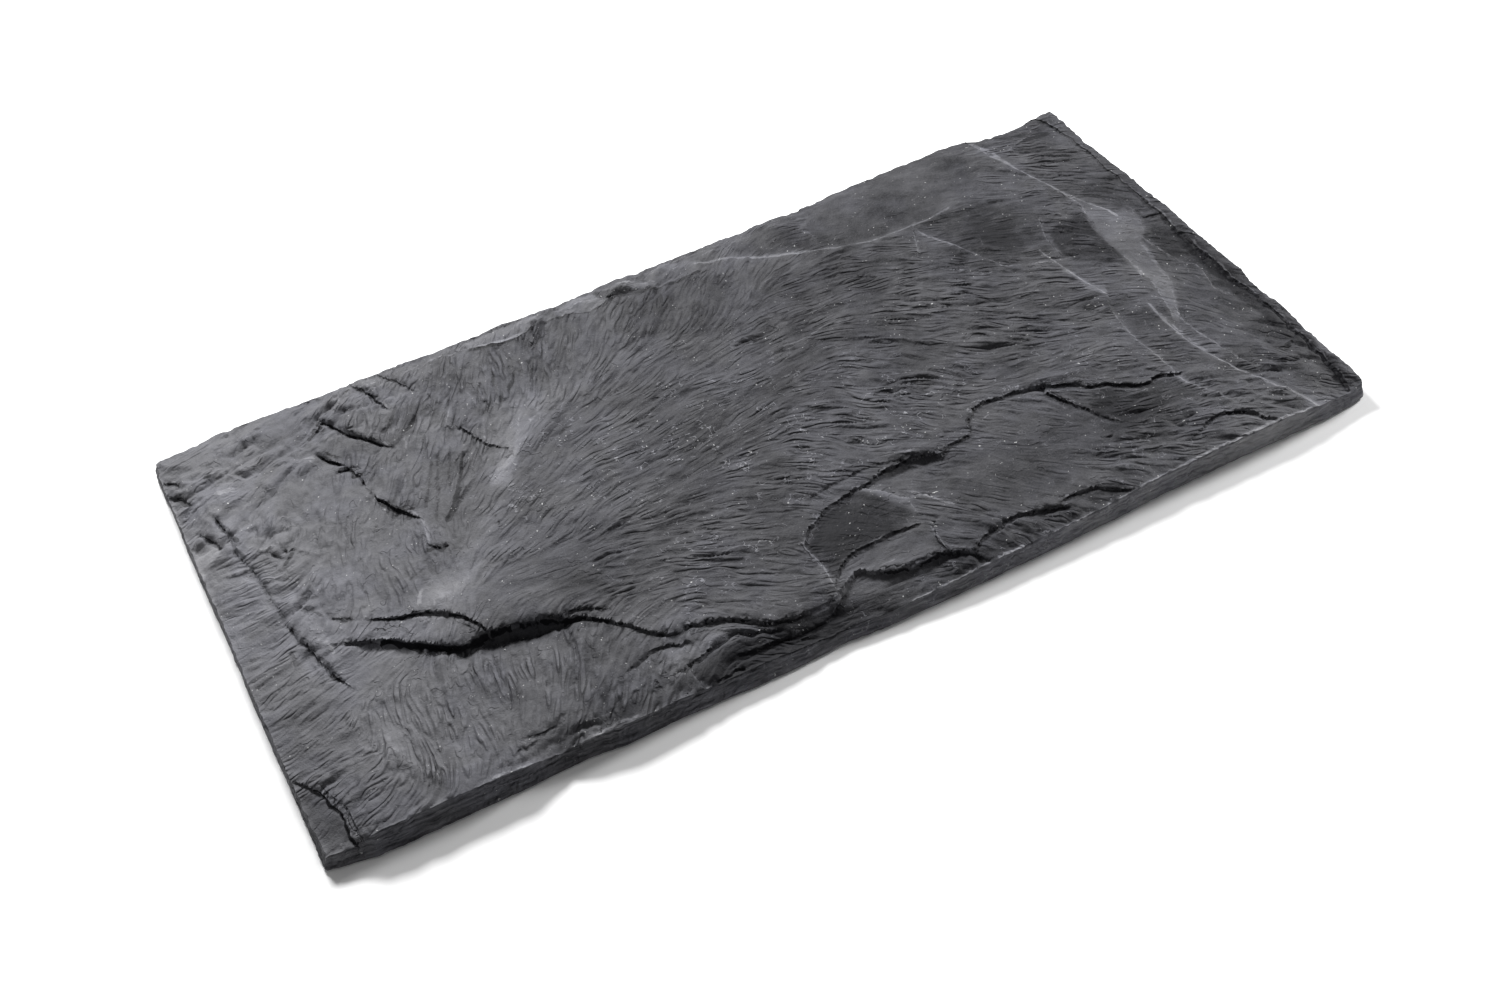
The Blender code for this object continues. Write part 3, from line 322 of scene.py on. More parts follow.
# Pale worn lines and scratches: half width and strength, then x, y along the line
PALE_LINES = (
    (1.7, 0.6, ((239, 149), (240, 142), (240, 137))),
    (0.8, 0.7, ((239, 138), (240, 131), (242, 122), (245, 113))),
    (1, 0.9, ((241, 142), (243, 132), (245, 120), (246, 110), (250, 95), (254, 83), (257, 73),
        (261, 63), (265, 55), (270, 46), (272, 38))),
    (0.7, 0.8, ((254, 84), (255, 75), (257, 65), (259, 55), (256, 48))),
    (0.5, 0.7, ((224, 139), (232, 137), (238, 136))),
    (0.9, 0.9, ((238, -41), (237, -52), (237, -65), (237, -75), (239, -85), (241, -95),
        (244, -105), (247, -115), (250, -122), (254, -132), (258, -140), (263, -148),
        (268, -157))),
    (0.7, 0.8, ((239, -52), (239, -65), (240, -80), (242, -90))),
    (0.5, 0.7, ((252, 4), (252, -8), (250, -18))),
    (0.5, 0.8, ((254, -8), (252, -26), (248, -42), (244, -56))),
    (1, 0.5, ((270, 14), (267, 0), (265, -12), (262, -27))),
    (0.5, 0.7, ((262, -30), (256, -40), (250, -51), (246, -60))),
    (0.5, 0.5, ((284, 40), (280, 30), (276, 14))),
    (0.4, 0.5, ((281, 48), (284, 38), (287, 31))),
    (0.5, 0.8, ((246, -52), (247, -62), (248, -75), (250, -85), (252, -97), (254, -107))),
    (0.7, 0.8, ((213, 34), (214, 25), (215, 15), (217, 5), (218, -5), (220, -15), (222, -22))),
    (0.5, 0.7, ((217, -35), (215, -45), (214, -55), (213, -65), (215, -75), (216, -92),
        (216, -105), (218, -108), (221, -114), (224, -120), (226, -128))),
    (0.5, 0.7, ((273, 10), (275, -3), (279, -15), (284, -24), (283, -32), (280, -45), (282, -52),
        (285, -57))),
    (0.45, 0.6, ((279, -20), (276, -28), (278, -38), (280, -45))),
    (1.1, 0.9, ((34, 135), (38, 132), (42, 131), (48, 131), (53, 129), (57, 127), (60, 124),
        (65, 121), (70, 118), (78, 115), (86, 112), (92, 109), (98, 108), (104, 105),
        (112, 102))),
    (0.8, 0.5, ((66, 122), (78, 117), (90, 112), (100, 107), (108, 104))),
    (0.8, 0.7, ((108, 101), (120, 99), (130, 96), (145, 95), (158, 94), (165, 94), (175, 94),
        (185, 96), (191, 98))),
    (0.5, 0.7, ((165, 97), (160, 90), (155, 78), (151, 68))),
    (0.8, 0.8, ((162, 88), (164, 80), (170, 68), (175, 60), (180, 48), (183, 40), (186, 32),
        (192, 30), (200, 26), (212, 21))),
    (0.5, 0.6, ((150, 57), (152, 50), (158, 46), (163, 43), (168, 36), (173, 32))),
    (0.5, 0.6, ((232, 61), (228, 55), (226, 50), (223, 42), (222, 38))),
    (0.45, 0.6, ((218, 36), (222, 33), (222, 26))),
    (0.45, 0.4, ((190, 65), (188, 55))),
    (0.6, 0.7, ((250, 126), (262, 131), (272, 134), (280, 131), (287, 126))),
    (0.9, 1, ((150, -156), (175, -155), (200, -154), (225, -154), (240, -154), (262, -155))),
    (1.2, 1.3, ((10, -159), (48, -159), (62, -158))),
    (1.2, 1.3, ((66, -158), (76, -158))),
    (1.2, 1.3, ((94, -159), (130, -158))),
    (1, 1.1, ((136, -157), (142, -157))),
    (1, 0.9, ((-215, -154), (-208, -154))),
    (0.9, 0.9, ((-203, -155), (-196, -155))),
    (0.9, 0.9, ((-170, -155), (-150, -155), (-140, -156))),
    (0.5, 0.9, ((176, -121), (172, -133))),
    (0.4, 0.9, ((131, -120), (134, -132))),
    (0.4, 0.8, ((266, -115), (265, -122))),
    (0.4, 0.8, ((283, -127), (284, -136))),
    (0.4, 0.7, ((125, -102), (124, -112))),
    (0.6, 0.9, ((169, -90), (169, -91))),
    (0.6, 0.9, ((155, -134), (155, -135))),
    (0.6, 0.9, ((235, -151), (236, -151))),
    (0.6, 0.9, ((121, 118), (122, 118))),
    (0.6, 0.8, ((142, 88), (143, 88))),
    (0.6, 0.8, ((248, 66), (249, 66))),
    (0.6, 0.8, ((282, 77), (283, 77))),
    (0.6, 0.8, ((292, 87), (292, 88))),
    (0.6, 0.8, ((201, 18), (202, 18))),
    (0.7, 0.9, ((-21.5, -101), (-20.4, -110), (-19, -119), (-19.7, -125), (-21, -132))),
    (1, 0.9, ((46, -98), (50, -102), (54, -107), (60, -116))),
    (0.6, 0.7, ((41, -104), (41, -112))),
    (0.6, 0.8, ((43, -120), (41, -131), (41, -139), (47, -144), (52, -149))),
    (0.6, 0.7, ((33, -112), (34, -114))),
    (0.6, 0.8, ((-14, -133), (-8, -130), (-3, -130))),
    (1.1, 0.9, ((-38, -143), (-30, -142), (-24, -140), (-21, -139))),
    (0.7, 0.8, ((-106, -148), (-104, -154), (-103, -159))),
    (0.6, 0.8, ((0, -132), (5, -133), (11, -134), (15, -134))),
    (0.6, 0.8, ((66, -73), (60, -73), (54, -72))),
    (0.45, 0.8, ((75, -67), (83, -65), (82, -72))),
    (0.4, 0.7, ((93, -48), (91, -58))),
    (0.4, 0.7, ((92, -73), (93, -78))),
    (0.5, 0.8, ((-76, -31), (-70, -29))),
    (0.5, 0.9, ((-73, -42), (-71, -36), (-64, -31))),
    (0.5, 0.9, ((-61, -31), (-60, -36), (-55, -33))),
    (0.5, 0.9, ((-20, -31), (-17, -38), (-14, -40))),
    (0.5, 0.7, ((-31, -27), (-31, -31))),
    (0.5, 0.8, ((-47, -23), (-47, -27))),
    (0.7, 1, ((1, -15), (2, -15))),
    (0.7, 0.9, ((61, -5), (62, -5))),
    (0.7, 0.7, ((84, -15), (86, -16))),
    (0.6, 0.7, ((22, -12), (24, -11))),
    (0.5, 0.8, ((-15, -5), (-9, -4), (-4, -1))),
    (0.5, 0.9, ((5, -60), (7, -57), (9, -55))),
    (0.4, 0.8, ((13, -54), (19, -55))),
    (0.6, 0.9, ((20, -59), (21, -59))),
    (0.6, 0.9, ((22, -65), (25, -62), (27, -61))),
    (0.45, 0.8, ((-13, -71), (-9, -69), (-5, -67))),
    (0.5, 0.8, ((-15, -75), (-12, -73))),
    (0.5, 0.8, ((-7, -76), (-3, -72))),
    (0.45, 0.8, ((47, -71), (50, -68))),
    (0.7, 1, ((-9, -92), (-8, -91))),
    (0.6, 0.9, ((-95, -78), (-94, -78))),
    (0.6, 0.8, ((-101, -96), (-99, -94))),
    (0.6, 0.9, ((-93, -106), (-90, -103), (-85, -98))),
    (0.5, 0.9, ((-80, -91), (-77, -94))),
    (0.5, 0.8, ((-59, -87), (-50, -86))),
    (0.5, 0.9, ((-45, -99), (-42, -97))),
    (0.5, 0.9, ((-31, -87), (-27, -83), (-23, -79))),
    (0.5, 0.8, ((-81, -69), (-74, -63))),
    (0.7, 0.5, ((-104, -64), (-96, -60))),
    (0.5, 0.9, ((-38, -125), (-36, -124))),
    (0.6, 1, ((-54, -130), (-53, -130))),
    (0.6, 1, ((-58, -135), (-57, -134))),
    (0.6, 0.9, ((-43, -137), (-41, -137))),
    (0.6, 1, ((-25, -140), (-23, -139))),
    (0.6, 0.9, ((6, 22), (7, 25), (10, 26), (14, 22))),
    (0.5, 0.7, ((100, 22), (103, 24))),
    (0.5, 0.7, ((15, 17), (24, 16), (36, 15))),
    (0.7, 0.9, ((37, 14), (38, 14))),
    (0.5, 0.6, ((-28, 9), (-18, 12), (-8, 13))),
    (0.7, 0.5, ((42, 37), (60, 38), (72, 41), (88, 38))),
    (0.5, 0.7, ((55, 91), (60, 95), (67, 97))),
    (0.5, 0.8, ((22, 69), (30, 71))),
    (0.8, 0.8, ((-88, 45), (-87, 45))),
    (1, 0.8, ((-110, 137), (-100, 135), (-90, 133), (-80, 133))),
    (0.8, 0.6, ((-50, 138), (-40, 140), (-30, 140))),
    (0.9, 0.7, ((-12, 147), (-4, 140), (5, 132))),
    (0.5, 0.7, ((-14, 140), (-8, 136), (-4, 133))),
    (0.6, 0.8, ((-54, 133), (-52, 136))),
    (0.6, 0.8, ((42, 140), (50, 142))),
    (0.6, 0.6, ((71, 140), (74, 142), (79, 147))),
    (0.6, 0.6, ((104, 128), (107, 122), (107, 114), (106, 109))),
    (1.2, 0.9, ((-208, -38), (-206, -33), (-203, -28))),
    (0.7, 0.9, ((-257, -33), (-256, -40))),
    (0.6, 0.9, ((-248, -28), (-247, -31))),
    (0.7, 0.9, ((-229, -141), (-227, -143))),
    (0.6, 0.9, ((-247, -148), (-246, -151))),
    (1, 0.5, ((-247, -91), (-244, -93))),
    (0.6, 0.8, ((-290, -149), (-289, -149))),
    (0.8, 0.8, ((-200, 39), (-199, 38))),
    (0.8, 0.7, ((-223, 96), (-221, 96))),
    (0.9, 0.7, ((-229, 100), (-221, 99))),
    (1.8, 0.6, ((-276, 99), (-272, 98), (-268, 98))),
    (0.8, 0.9, ((-172, 141), (-170, 140))),
    (1, 0.7, ((-138, 141), (-132, 142))),
    (0.7, 0.7, ((-126, 139), (-121, 138))),
    (0.9, 0.9, ((-172, 118), (-170, 112))),
    (0.6, 0.7, ((-190, 94), (-187, 97))),
    (0.7, 0.7, ((-141, 93), (-145, 87), (-147, 84))),
    (1, 1, ((-141, 4), (-139, 1), (-140, -3))),
    (1, 0.8, ((-136, 18), (-132, 18))),
    (0.6, 0.7, ((-184, 12), (-187, 3), (-188, 0))),
    (0.8, 0.8, ((-267, 64), (-266, 64))),
    (0.6, 0.7, ((-269, 46), (-264, 43), (-262, 40))),
    (0.8, 0.7, ((-188, 31), (-186, 26), (-185, 18), (-186, 10), (-188, 4), (-190, 1))),
    (0.5, 0.6, ((-128, 108), (-127, 96), (-127, 84))),
    (0.5, 0.6, ((-119, 106), (-121, 97), (-122, 90))),
    (0.5, 0.6, ((-106, 112), (-111, 102), (-116, 92))),
    (0.6, 0.5, ((-104, 62), (-108, 55), (-113, 48), (-117, 44))),
    (0.6, 0.5, ((-121, 44), (-116, 54), (-111, 64), (-108, 72))),
    (0.6, 0.4, ((-127, 76), (-131, 66), (-133, 60))),
    (0.7, 0.6, ((-181, 58), (-184, 50), (-189, 42))),
    (0.6, 0.6, ((-171, 88), (-172, 80), (-174, 74))),
    (0.5, 0.5, ((-191, 143), (-193, 136), (-198, 128), (-206, 120), (-210, 108))),
    (0.6, 0.6, ((-230, 102), (-225, 100), (-220, 99))),
    (0.7, 0.5, ((-261, 20), (-258, 12), (-256, 4))),
    (0.9, 0.6, ((-257, -32), (-256, -44))),
    (0.8, 0.5, ((-247, -38), (-240, -33), (-234, -30))),
    (0.7, 0.6, ((-290, 26), (-283, 28), (-277, 32))),
    (0.5, 0.5, ((-286, 21), (-280, 23), (-276, 27))),
    (0.5, 0.5, ((-271, 20), (-264, 21))),
)

# Creases darkened with painted shade, in the same form: SHADE_LINE_EXTRA is added to each half
# width
SHADE_LINES = (
    (0.9, 0.4, ((-112, 134), (-100, 131), (-90, 129), (-80, 130), (-70, 131), (-62, 133),
        (-54, 132), (-46, 129), (-38, 127), (-30, 129), (-22, 131), (-14, 130), (-6, 127),
        (2, 124), (10, 126), (18, 124), (26, 124), (34, 126))),
    (0.7, 0.6, ((-147, 56), (-152, 47), (-156, 38), (-160, 32))),
    (0.6, 0.5, ((-139, 56), (-143, 50), (-146, 46))),
    (1.2, 0.7, ((-160, 30), (-165, 22), (-169, 16), (-173, 12))),
    (0.6, 0.5, ((-149, 34), (-156, 28), (-162, 22), (-167, 16))),
    (0.6, 0.5, ((-165, 59), (-170, 48), (-175, 38), (-180, 28))),
    (0.5, 0.5, ((-160, 62), (-164, 52), (-168, 42), (-172, 30), (-176, 22), (-180, 12))),
    (0.5, 0.4, ((-152, 64), (-156, 54), (-160, 46), (-163, 36))),
    (0.8, 0.6, ((-180, 97), (-175, 100), (-170, 106), (-167, 111))),
    (0.8, 0.6, ((-170, 90), (-165, 92), (-160, 99))),
    (0.5, 0.6, ((-147, 112), (-146, 101))),
    (0.4, 0.5, ((-154, 83), (-148, 88), (-143, 94), (-138, 101))),
    (0.5, 0.5, ((-112, 87), (-114, 83))),
    (0.5, 0.5, ((-104, 95), (-108, 86))),
    (0.5, 0.5, ((-118, 104), (-123, 94))),
    (0.5, 0.5, ((-98, 102), (-104, 92))),
    (0.5, 0.5, ((-88, 100), (-93, 90))),
    (0.5, 0.5, ((-108, 108), (-113, 97))),
    (0.6, 0.5, ((-96, 40), (-92, 43), (-88, 44))),
    (0.5, 0.4, ((-276, 44), (-275, 34), (-273, 22), (-272, 8), (-272, -2), (-270, -14))),
    (1.2, 0.9, ((-270, -18), (-268, -22))),
    (1.2, 0.9, ((-267, -28), (-265, -35))),
    (1.1, 0.9, ((-263, -43), (-261, -50))),
    (1.1, 0.9, ((-261, -56), (-259, -60))),
    (0.7, 0.7, ((-265, -36), (-263, -44))),
    (0.6, 0.7, ((-279, 53), (-276, 44))),
    (0.7, 0.9, ((-282, 78), (-280, 70), (-278, 62), (-276, 56))),
    (0.6, 0.8, ((-293, 75), (-289, 66), (-286, 60))),
    (0.8, 0.9, ((-299, 116), (-295, 110), (-291, 101))),
    (0.6, 0.7, ((-299, 129), (-295, 125), (-292, 121))),
    (1.2, 0.9, ((-278, 115), (-276, 115))),
    (0.5, 0.5, ((-276, 112), (-274, 106), (-270, 110))),
    (0.6, 0.5, ((-273, 137), (-268, 136), (-264, 133))),
    (0.7, 0.7, ((-277, 128), (-271, 127))),
    (0.7, 0.5, ((-243, 141), (-239, 140))),
    (0.8, 0.9, ((-218, 114), (-214, 119))),
    (0.6, 0.9, ((-213, 121), (-210, 116))),
    (1, 0.9, ((-209, 125), (-206, 124))),
    (0.8, 0.9, ((-211, 124), (-209, 121))),
    (0.7, 0.9, ((-209, 116), (-208, 118))),
    (0.5, 0.4, ((-236, 86), (-228, 89), (-220, 93))),
    (0.8, 0.9, ((-188, 142), (-185, 145))),
    (0.9, 0.9, ((-180, 145), (-178, 138))),
    (0.6, 0.9, ((-216, 95), (-212, 89), (-210, 86))),
    (0.7, 0.9, ((-213, 97), (-208, 90))),
    (0.9, 0.9, ((-211, 80), (-208, 81), (-204, 76))),
    (0.9, 0.9, ((-206, 72), (-202, 70))),
    (0.9, 0.9, ((-204, 64), (-202, 64))),
    (1.4, 0.9, ((-200, 46), (-196, 38), (-193, 33))),
    (0.5, 0.8, ((-192, 38), (-186, 37))),
    (0.5, 0.8, ((-193, 35), (-187, 34))),
    (0.5, 0.8, ((-192, 31), (-186, 31))),
    (0.9, 0.8, ((-191, 26), (-189, 28))),
    (0.8, 0.8, ((-191, -3), (-189, -6), (-187, -3), (-184, -8), (-180, -5))),
    (0.6, 0.9, ((-247, -22), (-242, -26))),
    (0.6, 0.7, ((-272, -1), (-267, -1))),
    (0.8, 0.7, ((-263, -4), (-257, -2), (-251, -4))),
    (0.5, 0.6, ((-257, -8), (-255, -14), (-253, -19))),
    (0.7, 0.5, ((-257, -12), (-262, -8))),
    (0.6, 0.8, ((-271, 41), (-268, 43), (-265, 37))),
    (0.6, 0.8, ((-265, 40), (-262, 42))),
    (1, 0.8, ((-259, 26), (-255, 31), (-252, 35))),
    (1, 0.6, ((-275, -31), (-275, -40), (-268, -37))),
    (0.4, 0.5, ((-229, -2), (-229, -12), (-227, -18))),
    (0.8, 0.6, ((-234, 7), (-233, 6))),
    (0.7, 0.4, ((-226, 10), (-222, 9))),
    (0.5, 0.5, ((-212, -23), (-204, -18), (-197, -15))),
    (0.7, 0.7, ((-296, 23), (-294, 21))),
    (0.8, 0.6, ((-299, -2), (-297, -3))),
    (0.5, 0.5, ((-298, 12), (-290, 8))),
    (0.5, 0.4, ((-290, 38), (-280, 34))),
    (0.8, 0.8, ((-151, -4), (-151, -10))),
    (0.5, 0.6, ((-150, 10), (-151, 0))),
    (0.6, 0.6, ((213, 88), (221, 85))),
    (0.8, 0.5, ((231, 53), (236, 52))),
    (0.7, 0.6, ((226, 35), (232, 33), (238, 30))),
    (0.6, 0.6, ((236, 40), (243, 33), (249, 28))),
    (0.6, 0.6, ((228, 22), (236, 18))),
    (0.6, 0.5, ((276, 100), (287, 97))),
    (0.6, 0.6, ((262, 95), (270, 90), (280, 84))),
    (0.5, 0.5, ((266, 110), (282, 102))),
    (0.7, 0.6, ((268, 68), (275, 64), (282, 58))),
    (0.5, 0.5, ((258, 122), (270, 116))),
    (0.7, 0.7, ((278, 8), (284, 2))),
    (1, 0.8, ((291, -22), (292, -42))),
    (0.6, 0.7, ((204, -26), (210, -32), (216, -36))),
)

# Areas with an edge: tone, depth of the ripples in them, softness of the edge, and outline
# Darker hollows, pocket and troughs here are painted shade; pale slope bands are painted light
AREAS_TONE_LIGHT_AND_SHADE = (
    (-0.28, 0.8, 5, ((-20, -104), (-12, -96), (0, -89), (12, -84), (22, -81), (26, -88),
        (32, -96), (38, -103), (40, -108), (34, -115), (28, -117), (15, -117), (3, -118),
        (-6, -121), (-12, -125), (-17, -131), (-19, -120))),
    (0.28, 0.25, 2, ((22, -81), (27, -82), (35, -88), (42, -95), (48, -100), (44, -102),
        (38, -102), (33, -97), (28, -90))),
    (0, 0.5, 3, ((-12, -129), (-4, -124), (6, -120), (20, -119), (36, -120), (40, -124),
        (39, -133), (30, -136), (18, -137), (5, -134), (-3, -130))),
    (0.28, 0.5, 3, ((-112, -127), (-98, -130), (-88, -130), (-80, -132), (-72, -133),
        (-80, -135), (-95, -137), (-105, -140), (-112, -139))),
    (0.22, 0.35, 1.4, ((260, 54), (266, 50), (272, 44), (280, 42), (284, 33), (280, 24),
        (275, 12), (271, 11), (269, 2), (266, -8), (263, -20), (261, -30), (256, -42), (250, -52),
        (245, -60), (243, -58), (247, -48), (250, -36), (252, -20), (252, 2), (251, 16),
        (252, 30), (255, 42), (258, 50))),
    (-0.26, 0.6, 1.4, ((255, 129), (265, 132), (275, 134), (283, 131), (287, 127), (276, 128),
        (266, 128))),
    (-0.20, 1, 2, ((252, 0), (252, 30), (254, 46), (240, 50), (226, 42), (222, 22), (230, 8),
        (240, 0))),
    (0.24, 0.4, 1.2, ((214, 16), (217, 6), (220, -2), (223, -12), (226, -15), (221, -25),
        (217, -14), (214, 0))),
    (0.20, 0.5, 2, ((214, -94), (218, -96), (219, -106), (215, -106))),
    (-0.05, 0.9, 6, ((160, 96), (192, 98), (226, 88), (252, 80), (255, 60), (230, 60),
        (224, 44), (214, 22), (196, 27), (186, 34), (176, 60), (164, 84))),
    (-0.07, 0.3, 6, ((104, 108), (120, 101), (145, 98), (175, 98), (196, 102), (220, 112),
        (226, 140), (200, 152), (150, 150), (118, 146), (106, 130))),
    (-0.12, 0.4, 4, ((66, 124), (84, 115), (100, 112), (104, 124), (98, 134), (84, 148),
        (70, 140), (60, 132))),
    (-0.16, 0.9, 5, ((-106, -139), (-60, -140), (-22, -141), (-14, -148), (-20, -156),
        (-60, -158), (-102, -157))),
    (-0.05, 0.8, 4, ((248, -58), (258, -100), (276, -150), (292, -150), (294, 0), (286, 28),
        (279, 14), (272, -6), (266, -26), (256, -44))),
    (0.26, 0.5, 2, ((262, -142), (270, -148), (279, -158), (266, -158))),
    (-0.18, 0.8, 2, ((168, -86), (178, -87), (188, -96), (198, -95), (212, -99), (216, -108),
        (222, -118), (200, -114), (185, -116), (172, -112), (168, -105), (160, -98))),
    (-0.10, 1, 2, ((215, -28), (234, -28), (237, -60), (238, -95), (232, -100), (216, -92))),
    (-0.18, 0.7, 3, ((290, 5), (296, 5), (297, -60), (296, -150), (289, -150), (286, -60))),
    (0.24, 0.4, 1.4, ((-114, 138), (-105, 136), (-98, 133), (-92, 131), (-80, 132), (-72, 134),
        (-66, 138), (-68, 149), (-114, 149))),
    (0.22, 0.4, 1.4, ((-56, 140), (-54, 134), (-48, 131), (-38, 129), (-30, 131), (-24, 133),
        (-27, 140), (-31, 149), (-50, 149))),
    (-0.18, 0.8, 1.4, ((-28, 149), (-20, 143), (-12, 140), (-15, 133), (-24, 133), (-29, 140))),
    (-0.24, 0.6, 1.2, ((-20, 138), (-12, 136), (-5, 132), (-4, 128), (-12, 130), (-18, 133))),
    (-0.20, 0.6, 1.4, ((-67, 149), (-54, 149), (-53, 143), (-62, 142))),
    (0.26, 0.4, 1.2, ((-12, 149), (-4, 142), (4, 133), (6, 127), (-2, 132), (-10, 139))),
    (0.14, 0.4, 1.4, ((4, 126), (12, 128), (20, 126), (28, 126), (34, 129), (36, 136), (22, 149),
        (6, 149), (2, 140))),
    (-0.22, 0.6, 1.6, ((-192, -4), (-184, -2), (-181, -5), (-184, -9), (-189, -7))),
    (0.36, 0.4, 3, ((-144, 23), (-141, 30), (-134, 38), (-126, 43), (-119, 45), (-121, 37),
        (-127, 29), (-134, 23), (-140, 22))),
    (0.26, 0.6, 3, ((-300, 44), (-293, 50), (-287, 53), (-286, 60), (-290, 66), (-300, 70))),
    (-0.20, 0.6, 2, ((-134, 54), (-126, 50), (-124, 46), (-131, 46), (-136, 50))),
    (-0.10, 0.6, 3, ((-246, 133), (-232, 134), (-222, 122), (-214, 112), (-228, 118),
        (-244, 122))),
    (-0.12, 0.5, 4, ((-266, -16), (-260, -16), (-258, -26), (-262, -32), (-266, -26))),
    (0.15, 0.6, 6, ((-208, -42), (-184, -38), (-166, -22), (-152, -4), (-148, 6), (-160, 2),
        (-180, -14), (-200, -26))),
    (-0.12, 0.5, 4, ((-166, -34), (-178, -46), (-186, -56), (-184, -68), (-160, -74),
        (-130, -78), (-118, -66), (-126, -50), (-146, -34))),
    (-0.22, 0.8, 3, ((-181, 90), (-166, 98), (-158, 110), (-154, 100), (-164, 92), (-172, 80),
        (-180, 82))),
    (0.16, 0.5, 4, ((-176, 108), (-160, 112), (-154, 122), (-162, 126), (-172, 118))),
    (0.18, 0.7, 5, ((-262, 20), (-258, -10), (-254, -30), (-256, -46), (-262, -30), (-266, 0))),
    (-0.10, 1, 3, ((-300, -68), (-276, -60), (-265, -66), (-266, -100), (-282, -104),
        (-300, -98))),
    (-0.16, 0.6, 5, ((-296, -152), (-284, -152), (-286, -126), (-296, -112), (-300, -126))),
)

# Areas broken into small facets: x, y, two radii, angle in degrees and share
BROKEN = (
    (-270, 90, 60, 60, 0, 1), (-230, 120, 60, 24, 10, 1), (-262, 0, 18, 80, 0, 1),
    (-180, 120, 30, 24, 0, 0.7), (-10, 143, 120, 10, 0, 1), (-120, -140, 60, 12, 0, 0.8),
    (280, -100, 24, 60, 0, 0.8), (60, -150, 80, 10, 0, 0.8), (240, 120, 40, 30, 0, 0.4),
    (-190, -12, 30, 20, 40, 0.5), (-250, -130, 40, 20, 0, 0.4), (200, -130, 60, 16, 0, 0.8),
)

# Areas with many small pale scars, in the same form
SCARRED = (
    (-20, -10, 100, 46, -10, 1), (-60, -88, 54, 36, 0, 0.9), (60, -45, 60, 34, -10, 0.9),
    (180, -60, 60, 40, 0, 0.5), (-110, 20, 40, 40, 0, 0.5), (0, 60, 100, 30, 0, 0.3),
    (190, -125, 60, 24, 0, 0.6), (60, -155, 120, 10, 0, 0.8), (-120, -130, 40, 14, 0, 0.5),
)

# How the split ran over the face: x, y, direction of the ripples in degrees and how deep
# they are, from 0 to 1
GRAIN = (
    (-290, -70, 15, 0.5), (-290, -100, 20, 0.6), (-285, -112, 5, 0.8), (-290, 20, 0, 0.3),
    (-290, 100, 20, 0.3), (-250, -55, 25, 0.5), (-240, -100, 88, 0.9), (-200, -110, 75, 1),
    (-150, -105, 60, 1), (-115, -130, 45, 0.9), (-210, 20, 80, 0.5), (-215, -10, 82, 0.5),
    (-240, 70, 70, 0.3), (-250, 120, 30, 0.4), (-190, 10, 80, 0.6), (-170, 50, 60, 0.7),
    (-160, 90, 62, 0.8), (-140, 50, 60, 0.9), (-120, 100, 65, 1), (-100, 110, 66, 1),
    (-60, 110, 62, 0.9), (-30, 115, 55, 0.8), (0, 110, 50, 0.7), (40, 105, 42, 0.5),
    (-100, 40, 25, 0.4), (-140, -10, 35, 0.5), (-120, -20, 15, 0.6), (-100, -10, 18, 0.6),
    (-130, -45, -12, 0.35), (-60, 0, 10, 0.5), (-50, 20, 8, 0.5), (0, 60, 10, 0.4),
    (0, 20, 5, 0.5), (30, 20, -5, 0.6), (80, 65, -3, 0.6), (100, 20, -30, 0.68),
    (150, 40, -30, 0.75), (150, 0, -32, 0.75), (30, -40, -38, 0.8), (60, -30, -42, 0.9),
    (100, -40, -35, 0.68), (150, -40, -20, 0.68), (180, -60, -3, 0.60), (190, -20, -20, 0.68),
    (-100, -60, -20, 0.5), (-50, -70, -28, 0.6), (-60, -110, -30, 0.6), (-30, -110, -25, 0.5),
    (200, 60, -25, 0.5), (240, 30, -25, 0.5), (230, -60, -25, 0.5), (270, 110, -25, 0.7),
    (270, 60, -40, 0.5), (280, -60, -60, 0.3), (180, -125, -25, 0.8), (60, -130, -50, 0.6),
    (100, -105, -40, 0.25), (140, -100, -40, 0.3), (160, 125, -20, 0.2), (200, 120, -20, 0.15),
    (20, -105, -40, 0.2), (10, -127, 0, 0.2),
)

# Paler and darker areas: x, y, two radii, angle in degrees and tone
# Paler west end: painted sheen. Dark ovals in the hollows and under the ledges: painted shade.
TONES_LIGHT_AND_SHADE = (
    (-300, 40, 110, 260, 5, 0.46), (-290, -110, 36, 50, 0, -0.10), (-190, -38, 34, 9, 28, 0.22),
    (-126, 42, 34, 8, 56, 0.22), (-104, 60, 34, 16, 40, 0.16), (-100, 100, 80, 40, 20, 0.10),
    (-60, 75, 80, 14, 4, 0.12), (70, 80, 120, 60, 0, -0.12), (205, 58, 36, 24, -10, -0.16),
    (4, -106, 20, 14, -40, -0.30), (-55, -152, 60, 9, 0, -0.4), (75, -154, 90, 8, 0, -0.2),
    (190, -118, 30, 16, 0, -0.16), (285, -40, 18, 110, 0, -0.18), (108, -112, 60, 28, 0, -0.20),
    (-172, -80, 32, 7, -14, -0.46), (115, -12, 46, 34, 0, -0.12), (-272, 92, 26, 34, 0, 0.06),
    (-100, -50, 60, 24, -10, -0.06), (10, 0, 110, 70, 0, -0.10),
    (-215, -110, 64, 46, 0, 0.10), (-50, 108, 100, 34, 0, -0.12), (270, 105, 40, 50, 0, -0.12),
)

# Painted light on the dressed sides: lengths painted paler where the lamps fall, in the same form
SIDE_PAINTED_LIGHT = (
    (130, -160, 150, 16, 0, 0.86), (-230, -160, 60, 16, 0, 0.02), (-90, -160, 50, 16, 0, 0.34),
    (250, -160, 50, 16, 0, 0.62), (-40, -160, 36, 16, 0, 0.22), (302, -60, 16, 120, 0, 0.4),
)

PER_METRE = 1000  # the tables' millimetres in a metre

# Table of random values that the uneven places are read from
NOISE_CELLS = 256  # places along each side, repeated without a seam
NOISE_START = 1000  # place of the frame's origin in it

